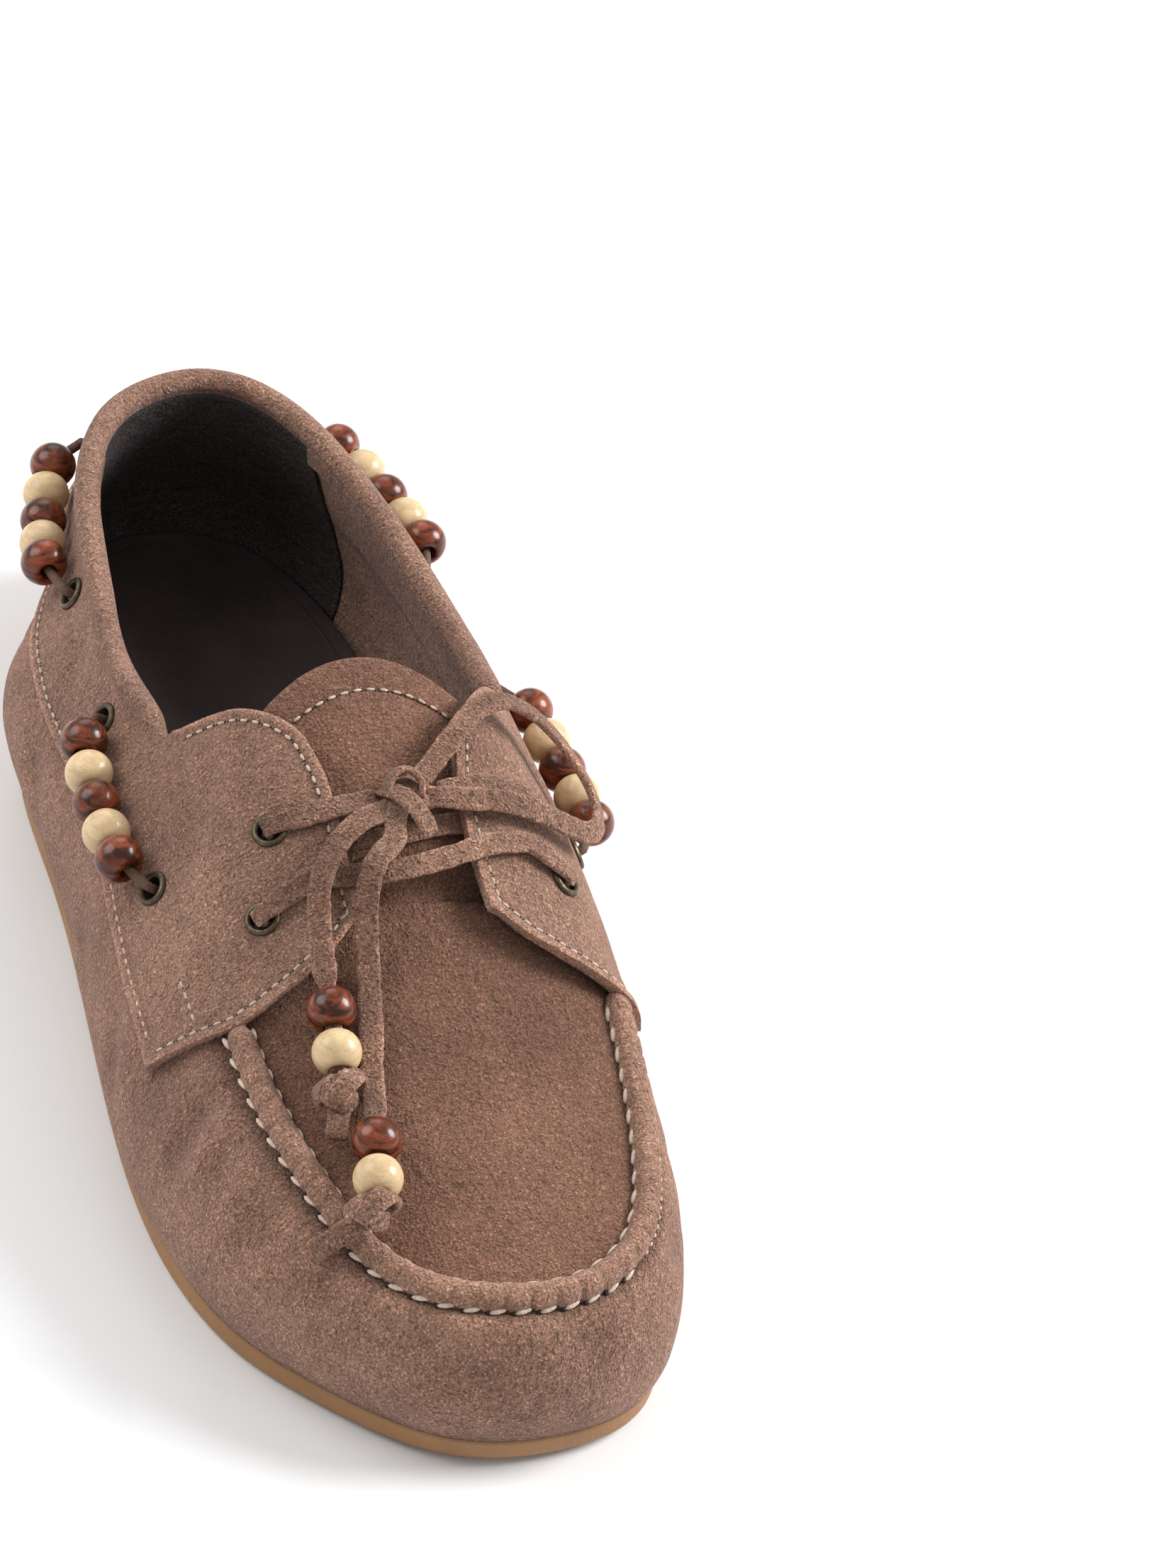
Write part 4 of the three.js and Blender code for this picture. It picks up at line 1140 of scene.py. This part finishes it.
def panel_relief(points, inside, front):
    """Rise of the panel's leather; inside and front are the distances from its edge and its front."""
    relief = crease_relief(points, PANEL_CREASES) + swell(points, (0.28, 20, 2.9), (0.1, 6, 5.5))
    relief += 0.45 * hump(inside - 0.9, 1.0) - 0.22 * hump(inside - sizes().stitch_inset, 0.8)
    return relief + 0.9 * hump(front, 4.5)


def panel_edges(*parts):
    """Points along the named edges of the panel, on both sides of the shoe."""
    edges = [panel_edge(part, side) for part in parts for side in (1, -1)]
    return np.vstack([skin(t, height, PANEL) for t, height in edges])


class MOCCASIN_OT_panel(bpy.types.Operator):
    """Lay the quarter panel round the heel, with its two free eyelet flaps"""

    bl_idname = "moccasin.panel"
    bl_label = "Quarter panel and flaps"

    def execute(self, context):
        edges, fronts = panel_edges("foot", "front", "top"), panel_edges("front")

        def place(u, v):
            t = panel_station(u * 2 - 1, v)
            height = panel_height(t, v)
            points = skin(t, height, PANEL)
            inside = distance_to(points, edges)
            relief = panel_relief(points, inside, distance_to(points, fronts))
            # Painted shade in the stitch groove; the lighter band at the cut edge is partly rubbed and
            # partly painted highlight.
            seam = hump(inside - sizes().stitch_inset, 0.8)
            tone = swell(points, (0.1, 26, 8.4)) - 0.12 * seam + 0.5 * hump(inside, 1.1)
            return points + face_normal(t, height) * relief[:, None], tone

        bm = laid_grid(560, 44, place)
        punch(bm, EYELETS)
        piece = add_piece("quarter_panel", bm, material("suede"))
        thicken(piece, FLAP + 0.1, 0.5)
        return {"FINISHED"}


class MOCCASIN_OT_counter(bpy.types.Operator):
    """Lay the heel counter with its two upright raised seams"""

    bl_idname = "moccasin.counter"
    bl_label = "Heel counter"

    def execute(self, context):
        def place(u, v):
            t = (u * 2 - 1) * COUNTER_SIDE
            height = lerp(0.015, PANEL_FOOT + 0.03, v)
            points = skin(t, height, COUNTER)
            relief = swell(points, (0.3, 18, 1.1), (0.1, 6, 3.5))
            tone = swell(points, (0.08, 20, 6.4)) + 0.03
            return points + face_normal(t, height) * relief[:, None], tone

        piece = add_piece("heel_counter", laid_grid(120, 34, place), material("suede"))
        thicken(piece, COUNTER + 0.4)
        for side, name in ((1, "outer"), (-1, "inner")):
            height = np.linspace(0.02, PANEL_FOOT + 0.02, 60)
            line = skin(side * COUNTER_SIDE, height, COUNTER * 0.6)
            bm = tube_mesh(line, face_normal(side * COUNTER_SIDE, height), self.seam, 14)
            add_piece(f"counter_seam_{name}", bm, material("suede"))
        return {"FINISHED"}

    def seam(self, i, v):
        """Section of a raised seam, painted lighter on its outer side and darker where it meets the wall."""
        a = v * 2 * math.pi
        return 1.2 * np.cos(a), 1.1 * np.sin(a), 0.1 * np.sin(a)


class MOCCASIN_OT_collar(bpy.types.Operator):
    """Roll the padded edge of the collar over the wall, with a groove inside"""

    bl_idname = "moccasin.collar"
    bl_label = "Collar roll"

    def execute(self, context):
        t = np.linspace(-THROAT, THROAT, 480)
        line = skin(t, COLLAR_AT, (PANEL - WALL) / 2)
        ups = unit(np.cross(face_normal(t, COLLAR_AT), np.gradient(line, axis=0)))
        ups *= np.sign(ups[:, 2:3])
        rough = with_ends(unevenness(line, 9, 1.3))
        ends = with_ends(1 - ease((np.abs(t) - THROAT + 0.35) / 0.35) * 0.5)

        def section(i, v):
            a = v * 2 * math.pi
            across, up = np.cos(a), np.sin(a)
            size = ends[i] * (1 + 0.04 * rough[i])
            groove = 0.5 * hump(v - 0.52, 0.03) + 0.5 * hump(v - 0.98, 0.03)
            wide = COLLAR_ROLL[0] * (1 - 0.2 * groove)
            # Painted light and shade: the roll is lighter on top, darker underneath and a little darker
            # overall.
            return across * wide * size, up * COLLAR_ROLL[1] * size, 0.1 * up - 0.08

        add_piece("collar_roll", tube_mesh(line, ups, section, 40), material("suede"))
        return {"FINISHED"}


class MOCCASIN_OT_lining(bpy.types.Operator):
    """Line the heel with nearly black leather"""

    bl_idname = "moccasin.lining"
    bl_label = "Heel lining"

    def execute(self, context):
        def place(u, v):
            height = lerp(0.02, 0.96, v)
            t = lerp(LINING_FOOT, LINING_TOP, v) * (1 - 2 * u)
            points = skin(t, height, -WALL - 0.1)
            relief = swell(points, (0.3, 20, 2.1))
            return points - face_normal(t, height) * (0.25 + relief)[:, None], 0.0

        piece = add_piece("heel_lining", laid_grid(160, 44, place), material("lining"))
        thicken(piece, 0.6)
        self.facing("outer", THROAT - 0.1, LINING_TOP)
        self.facing("inner", -LINING_TOP, -THROAT + 0.1)
        return {"FINISHED"}

    def facing(self, side, start, end):
        """The collar's edge turned in and sewn down in front of the lining, a fold's width inside."""

        def place(u, v):
            t = lerp(start, end, u)
            height = lerp(0.99 - FACING / COLLAR_HEIGHT, 0.97, v)
            points = skin(t, height, -WALL - 0.9)
            relief = swell(points, (0.15, 6, 2.6))
            # Painted shade darkens the facing all over inside the collar; a lighter band runs along its
            # lower edge.
            return points + relief[:, None] * face_normal(t, height), 0.25 * hump(v - 0.06, 0.08) - 0.2

        piece = add_piece(f"collar_facing_{side}", laid_grid(160, 10, place), material("suede"))
        thicken(piece, 0.9, 0.3)


def tongue_point(along, across, depth):
    t = lerp(TONGUE_FRONT, TONGUE_TOP + TONGUE_ROUNDING * across**2, along)
    points = (rim(t) + rim(ROUND - t)) / 2
    half_rim = np.abs(rim(t)[:, 0] - points[:, 0])
    half = TONGUE_WIDTH / 2
    apron_droop = middle_crown(t) * (half / half_rim) ** 2
    droop = lerp(apron_droop, TONGUE_DROOP, ease((TONGUE_FREE - t) / TONGUE_FREEING)) * across**2
    tuck = (APRON + GAP) * (1 - ease((TONGUE_TUCK - t) / TONGUE_TUCKING))
    points[:, 0] += across * half
    points[:, 2] += middle_crown(t) - droop - tuck - depth
    return points


class MOCCASIN_OT_tongue(bpy.types.Operator):
    """Lay the tongue with its round top and the pressed line for its row of stitches"""

    bl_idname = "moccasin.tongue"
    bl_label = "Tongue"

    def execute(self, context):
        across = np.linspace(-1, 1, 200)
        top = tongue_point(np.ones(200), across, 0)

        def place(u, v):
            points = tongue_point(v, u * 2 - 1, 0)
            inside = distance_to(points, top)
            seam = hump(inside - TONGUE_SEAM, 0.9)
            points[:, 2] += swell(points, (0.3, 15, 4.4), (0.1, 5, 1.9)) - 0.25 * seam
            # Painted shade in the stitch groove; the lighter band at the top edge is partly rubbed and
            # partly painted highlight.
            tone = swell(points, (0.1, 16, 2.7)) - 0.08 * seam + 0.25 * hump(inside, 0.8)
            return points, tone

        bm = laid_grid(70, 76, place)
        piece = add_piece("tongue_sheet", bm, material("apron"), ["tongue"])
        thicken(piece, TONGUE - 0.1, 0.3)
        return {"FINISHED"}


# Sole
UNDERSIDE = 0.34  # the part of the profile that lies on the floor
INSOLE_TOP = 0.6  # the footbed's upper face starts here
SOLE_PROFILE = [
    # share of the way round, 1 at the edge to 0 at the middle, drawn in, height share
    (0, 0, 1.4, 0),
    (UNDERSIDE, 1, 1.4, 0),
    (0.38, 1, 0.45, 0.08),
    (0.43, 1, 0.05, 0.3),
    (0.5, 1, 0, 0.6),
    (0.56, 1, 0.05, 0.86),
    (0.6, 1, 0.35, 0.97),
    (0.64, 1, 0.9, 1),
    (1, 0, 0.9, 1),
]
INSOLE_PROFILE = [
    # the same, with the height in millimetres
    (0, 0, 0.8, 0.0),
    (0.3, 1, 0.8, 0.0),
    (0.42, 1, 0.2, 3.1),
    (0.5, 1, 1.2, 3.0),
    (0.62, 1, 4.0, 2.5),
    (1, 0, 4.0, 2.5),
]
TREAD_PITCH = 5
TREAD_DEPTH = 0.7
ARCH = -20, 45  # the smooth part of the sole's underside
HEEL_PAD = 38
PAD_STEP = 0.7


def slab(t, v, profile, drawn=0):
    """Points of a closed slab in the shoe's outline, how near the edge they are and their heights."""
    way, reach, inward, height = (np.array(column, float) for column in zip(*profile))
    near = np.interp(v, way, reach)
    inset = (np.interp(v, way, inward) + drawn)[:, None]
    edge = foot(t) - outward(t) * inset
    other = foot(ROUND - t) - outward(ROUND - t) * inset
    return lerp((edge + other) / 2, edge, near[:, None]), near, np.interp(v, way, height)


class MOCCASIN_OT_sole(bpy.types.Operator):
    """Mould the thin gum sole with its rounded lower edge and shallow tread"""

    bl_idname = "moccasin.sole"
    bl_label = "Gum sole"

    def execute(self, context):
        def place(u, v):
            points, near, share = slab(u * ROUND, v, SOLE_PROFILE)
            y = points[:, 1]
            points[:, 2] = lerp(spring(y), seat(y), share)
            under = ease((1 - near) / 0.12) * (v < UNDERSIDE)
            ground = (y < ARCH[0]) | (y > ARCH[1])
            wave = np.abs(np.mod(y / TREAD_PITCH, 1) - 0.5) * 2
            points[:, 2] += TREAD_DEPTH * under * ground * ease((wave - 0.62) / 0.25)
            return points, 0.0

        bm = laid_grid(520, 110, place, wrapped=True)
        add_piece("gum_sole", bm, material("rubber"), ["outsole"])
        return {"FINISHED"}


class MOCCASIN_OT_insole(bpy.types.Operator):
    """Lay the dark footbed with the curved front edge of its heel pad"""

    bl_idname = "moccasin.insole"
    bl_label = "Footbed"

    def execute(self, context):
        def place(u, v):
            points, _, height = slab(u * ROUND, v, INSOLE_PROFILE, WALL + GAP)
            x, y = points[:, 0], points[:, 1]
            points[:, 2] = seat(y) + GAP + height
            top = v > INSOLE_TOP
            pad = ease((y - HEEL_PAD + (x / 6) ** 2 * 0.35) / 1.6)
            points[:, 2] += (PAD_STEP * pad + swell(points, (0.15, 25, 1.2))) * top
            return points, 0.0

        bm = laid_grid(360, 90, place, wrapped=True)
        add_piece("footbed_sheet", bm, material("footbed"), ["insole"])
        return {"FINISHED"}


# Eyelets and bead rows
class MOCCASIN_OT_eyelets(bpy.types.Operator):
    """Set the twelve brass eyelets in their holes"""

    bl_idname = "moccasin.eyelets"
    bl_label = "Eyelets"

    def execute(self, context):
        for name, (t, height) in EYELETS.items():
            bm = turned(EYELET_PROFILE, 36, skin(t, height, PANEL + 0.1), face_normal(t, height))
            add_piece(f"ring_{name}", bm, material("brass"), [f"eyelet_{name}"])
        return {"FINISHED"}


class MOCCASIN_OT_bead_rows(bpy.types.Operator):
    """String four rows of five beads on their thongs"""

    bl_idname = "moccasin.bead_rows"
    bl_label = "Bead rows"

    def execute(self, context):
        for row in BEAD_ROWS:
            for side in ("outer", "inner"):
                self.string(row, side)
        return {"FINISHED"}

    def string(self, row, side):
        start, end, high, low = BEAD_ROWS[row]

        def spot(share, proud):
            t = lerp(start, end, share)
            sag = 1 - (2 * share - 1) ** 2
            return skin(t if side == "outer" else ROUND - t, lerp(high, low, sag), proud)

        nodes = [f"bead_{row}_{side}_{i + 1}" for i in range(5)]
        middles = [np.array((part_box(n)[0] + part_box(n)[1]) / 2) / MM for n in nodes]
        line = [
            spot(0, -WALL + 0.4),
            spot(0, PANEL + THONG_TURN * 0.5),
            spot(THONG_RISE * 0.5, PANEL + THONG_TURN),
            *middles,
            spot(1 - THONG_RISE * 0.5, PANEL + THONG_TURN),
            spot(1, PANEL + THONG_TURN * 0.5),
            spot(1, -WALL + 0.4),
        ]
        for i, node in enumerate(nodes):
            wooden = "pale_wood" if i % 2 else "dark_wood"
            add_bead(node + "_turned", middles[i], unit(line[i + 4] - line[i + 2]), THONG_BORE, wooden, node)
        path = smooth_line(line, 0.6)

        def section(i, v):
            a = v * 2 * math.pi
            return THONG_HALF[0] * np.cos(a), THONG_HALF[1] * np.sin(a), 0.0

        ups = unit(np.gradient(path, axis=0)[:, ::-1] + (0.3, 0.1, 1.0))
        add_piece(
            f"thong_{row}_{side}_cord",
            tube_mesh(path, ups, section, 10),
            material("thong"),
            [f"thong_{row}_{side}"],
        )


# Sewing
def add_stitches(name, line, normals, colour, pitch, length, radius, slant=0.0, sunk=0.1):
    """A row of stitches, each a small rounded bar with a pit of painted shade at both ends, in two meshes.
    """
    away = length_along(line)

    def reached(values, at):
        return np.array([np.interp(at, away, values[:, k]) for k in range(3)])

    bm, dark = bmesh.new(), bmesh.new()
    for i in range(int(away[-1] / pitch)):
        at = (i + 0.5) * pitch
        middle = reached(line, at)
        up = unit(reached(normals, at))
        along = unit(reached(line, at + 0.3) - middle)
        side = unit(np.cross(up, along))
        along = unit(along + slant * side)
        side = np.cross(up, along)
        middle = middle - up * radius * sunk
        turn = Matrix([[*row] for row in np.array([along, side, up]).T]).to_4x4()
        place = Matrix.Translation(Vector(middle) * MM) @ turn
        shape = Matrix.Diagonal((length / 2 * MM, radius * MM, radius * MM, 1))
        bmesh.ops.create_uvsphere(bm, u_segments=8, v_segments=6, radius=1, matrix=place @ shape)
        # Pits of painted shade where the thread goes into the leather
        for end in (-1, 1):
            hole = middle + along * end * length * HOLE_REACH - up * radius * HOLE_SUNK
            spot = Matrix.Translation(Vector(hole) * MM)
            pit = Matrix.Diagonal([*(radius * half * MM for half in HOLE_SHAPE), 1])
            bmesh.ops.create_uvsphere(dark, u_segments=8, v_segments=5, radius=1, matrix=spot @ turn @ pit)
    add_piece(name, bm, material(colour))
    add_piece(name + "_holes", dark, material("holes"))


class MOCCASIN_OT_stitches(bpy.types.Operator):
    """Sew the ridge, the flaps, the panel's foot and the tongue"""

    bl_idname = "moccasin.stitches"
    bl_label = "Stitches"

    def execute(self, context):
        self.ridge()
        self.flaps()
        self.tongue()
        return {"FINISHED"}

    def ridge(self):
        """Saddle stitches on both sides of the ridge, with finer ones outside once it has turned back."""
        s = sizes()
        t, line = ridge_line()
        out = outward(t)
        saddle = "cream", s.saddle_pitch, s.saddle_stitch, SADDLE_THREAD
        fine = "tan", FINE_PITCH, FINE_STITCH, EDGE_THREAD
        for name, way, beside, drop, slant, keep, kind in (
            ("outer", 1, 0.92, -1.0, 0.25, t < RIDGE_TURN, saddle),
            ("inner", -1, 0.92, 0.7, -0.25, t > 0, saddle),
            ("fine", 1, 0.98, -0.4, 0, t > RIDGE_TURN, fine),
        ):
            row = line + out * way * s.ridge_radius * beside + (0, 0, drop)
            lean = unit(out * way + stack(0, 0, 0.7))
            add_stitches(f"ridge_stitches_{name}", row[keep], lean[keep], *kind, slant, sunk=0)

    def flaps(self):
        s = sizes()
        for side, name in ((1, "outer"), (-1, "inner")):
            top_t, top_h = panel_edge("top", side)
            front_t, front_h = panel_edge("front", side)
            t = np.concatenate([front_t[6:-3], top_t[4:]])
            height = np.concatenate([front_h[6:-3], top_h[4:]])
            self.panel_row(f"flap_stitches_{name}", t, height, s.stitch_inset, side)
            t, height = panel_edge("foot", side)
            up = height + s.stitch_inset / COLLAR_HEIGHT
            self.panel_row(f"foot_stitches_{name}", t[:-12], up[:-12], 0, side)
            t, height = (np.linspace(*ends, 20) for ends in zip(*CORNER_STITCHES))
            self.panel_row(f"corner_stitches_{name}", t * side, height, 0, side)

    def panel_row(self, name, t, height, inset, side):
        """Fine stitches that follow the panel's uneven leather."""
        s = sizes()
        line, normals = inset_line(t, height, inset, PANEL + 0.1, side)
        rise = panel_relief(line, s.stitch_inset, distance_to(line, panel_edges("front")))
        line += normals * rise[:, None]
        add_stitches(name, line, normals, "tan", s.edge_pitch, s.edge_stitch, EDGE_THREAD)

    def tongue(self):
        s = sizes()
        along, wide = TONGUE_ROW
        across = np.linspace(-wide, wide, 160)
        line = tongue_point(np.full(160, along), across, -0.05)
        ups = unit(stack(across * 0.5, 0.2, np.ones(160)))
        add_stitches("tongue_stitches", line, ups, "tan", s.edge_pitch, s.edge_stitch, EDGE_THREAD)


# Studio
CAMERA_AT = (-387.8, -896.8, 855.2)
CAMERA_RIGHT = (0.939, -0.297, 0.174)
CAMERA_UP = (0.066, 0.651, 0.757)
CAMERA_LENS = 161.5
CAMERA_SENSOR = 36
FLOOR_DROP = 0.0002
WORLD_LIGHT = 0.58
LIT_SPOT = (0, 0, 0.03)
LIGHTS = [
    # name, place, size, power
    ("key", (1.4, -0.1, 1.05), 0.9, 38),
    ("fill", (-1.2, 0.7, 1.15), 1.4, 19),
    ("back", (0.2, 1.4, 1.1), 1.0, 4),
]


class MOCCASIN_OT_studio(bpy.types.Operator):
    """Set the plain pale floor, the soft lights and the camera"""

    bl_idname = "moccasin.studio"
    bl_label = "Studio"

    def execute(self, context):
        self.floor()
        self.camera(context)
        self.lights()
        context.scene.view_settings.view_transform = "Standard"
        return {"FINISHED"}

    def floor(self):
        bm = bmesh.new()
        bmesh.ops.create_grid(bm, x_segments=2, y_segments=2, size=4)
        bmesh.ops.translate(bm, verts=bm.verts, vec=(0, 0, -FLOOR_DROP))
        mesh = bpy.data.meshes.new("studio_floor")
        bm.to_mesh(mesh)
        bm.free()
        mesh.materials.append(material("floor"))
        ground = bpy.data.objects.new("studio_floor", mesh)
        bpy.context.scene.collection.objects.link(ground)

    def camera(self, context):
        data = bpy.data.cameras.new("photo_camera")
        data.sensor_width = CAMERA_SENSOR
        data.lens = CAMERA_LENS
        data.clip_start = 0.05
        data.clip_end = 20
        camera = bpy.data.objects.new("photo_camera", data)
        context.scene.collection.objects.link(camera)
        right = Vector(CAMERA_RIGHT).normalized()
        back = right.cross(Vector(CAMERA_UP)).normalized()
        up = back.cross(right)
        turn = Matrix((right, up, back)).transposed().to_4x4()
        camera.matrix_world = Matrix.Translation(Vector(CAMERA_AT) * MM) @ turn
        context.scene.camera = camera

    def lights(self):
        world = bpy.data.worlds.new("studio world")
        world.use_nodes = True
        world.node_tree.nodes["Background"].inputs["Color"].default_value = (1, 1, 1, 1)
        world.node_tree.nodes["Background"].inputs["Strength"].default_value = WORLD_LIGHT
        bpy.context.scene.world = world
        for name, place, size, power in LIGHTS:
            data = bpy.data.lights.new(name, "AREA")
            data.shape = "DISK"
            data.size = size
            data.energy = power
            lamp = bpy.data.objects.new(name, data)
            bpy.context.scene.collection.objects.link(lamp)
            lamp.location = place
            lamp.rotation_euler = (Vector(LIT_SPOT) - Vector(place)).to_track_quat("-Z", "Y").to_euler()


OPERATORS = [
    MOCCASIN_OT_studio,
    MOCCASIN_OT_laces,
    MOCCASIN_OT_wall,
    MOCCASIN_OT_apron,
    MOCCASIN_OT_ridge,
    MOCCASIN_OT_panel,
    MOCCASIN_OT_counter,
    MOCCASIN_OT_collar,
    MOCCASIN_OT_lining,
    MOCCASIN_OT_tongue,
    MOCCASIN_OT_sole,
    MOCCASIN_OT_insole,
    MOCCASIN_OT_eyelets,
    MOCCASIN_OT_bead_rows,
    MOCCASIN_OT_stitches,
]


class MOCCASIN_PT_panel(bpy.types.Panel):
    """Lists the moccasin's pieces in the order of making"""

    bl_label = "Moccasin"
    bl_space_type = "VIEW_3D"
    bl_region_type = "UI"
    bl_category = "Moccasin"

    def draw(self, context):
        for operator in OPERATORS:
            self.layout.operator(operator.bl_idname)
        for group in (context.scene.moccasin_colours, context.scene.moccasin_sizes):
            for name in group.bl_rna.properties.keys():
                if name not in {"rna_type", "name"}:
                    self.layout.prop(group, name)


CLASSES = [MoccasinColours, MoccasinSizes, *OPERATORS, MOCCASIN_PT_panel]


def register():
    for cls in CLASSES:
        bpy.utils.register_class(cls)
    bpy.types.Scene.moccasin_colours = bpy.props.PointerProperty(type=MoccasinColours)
    bpy.types.Scene.moccasin_sizes = bpy.props.PointerProperty(type=MoccasinSizes)


def unregister():
    del bpy.types.Scene.moccasin_sizes
    del bpy.types.Scene.moccasin_colours
    for cls in reversed(CLASSES):
        bpy.utils.unregister_class(cls)


def main():
    register()
    for operator in OPERATORS:
        getattr(bpy.ops.moccasin, operator.bl_idname.split(".")[1])()


if __name__ == "__main__":
    main()
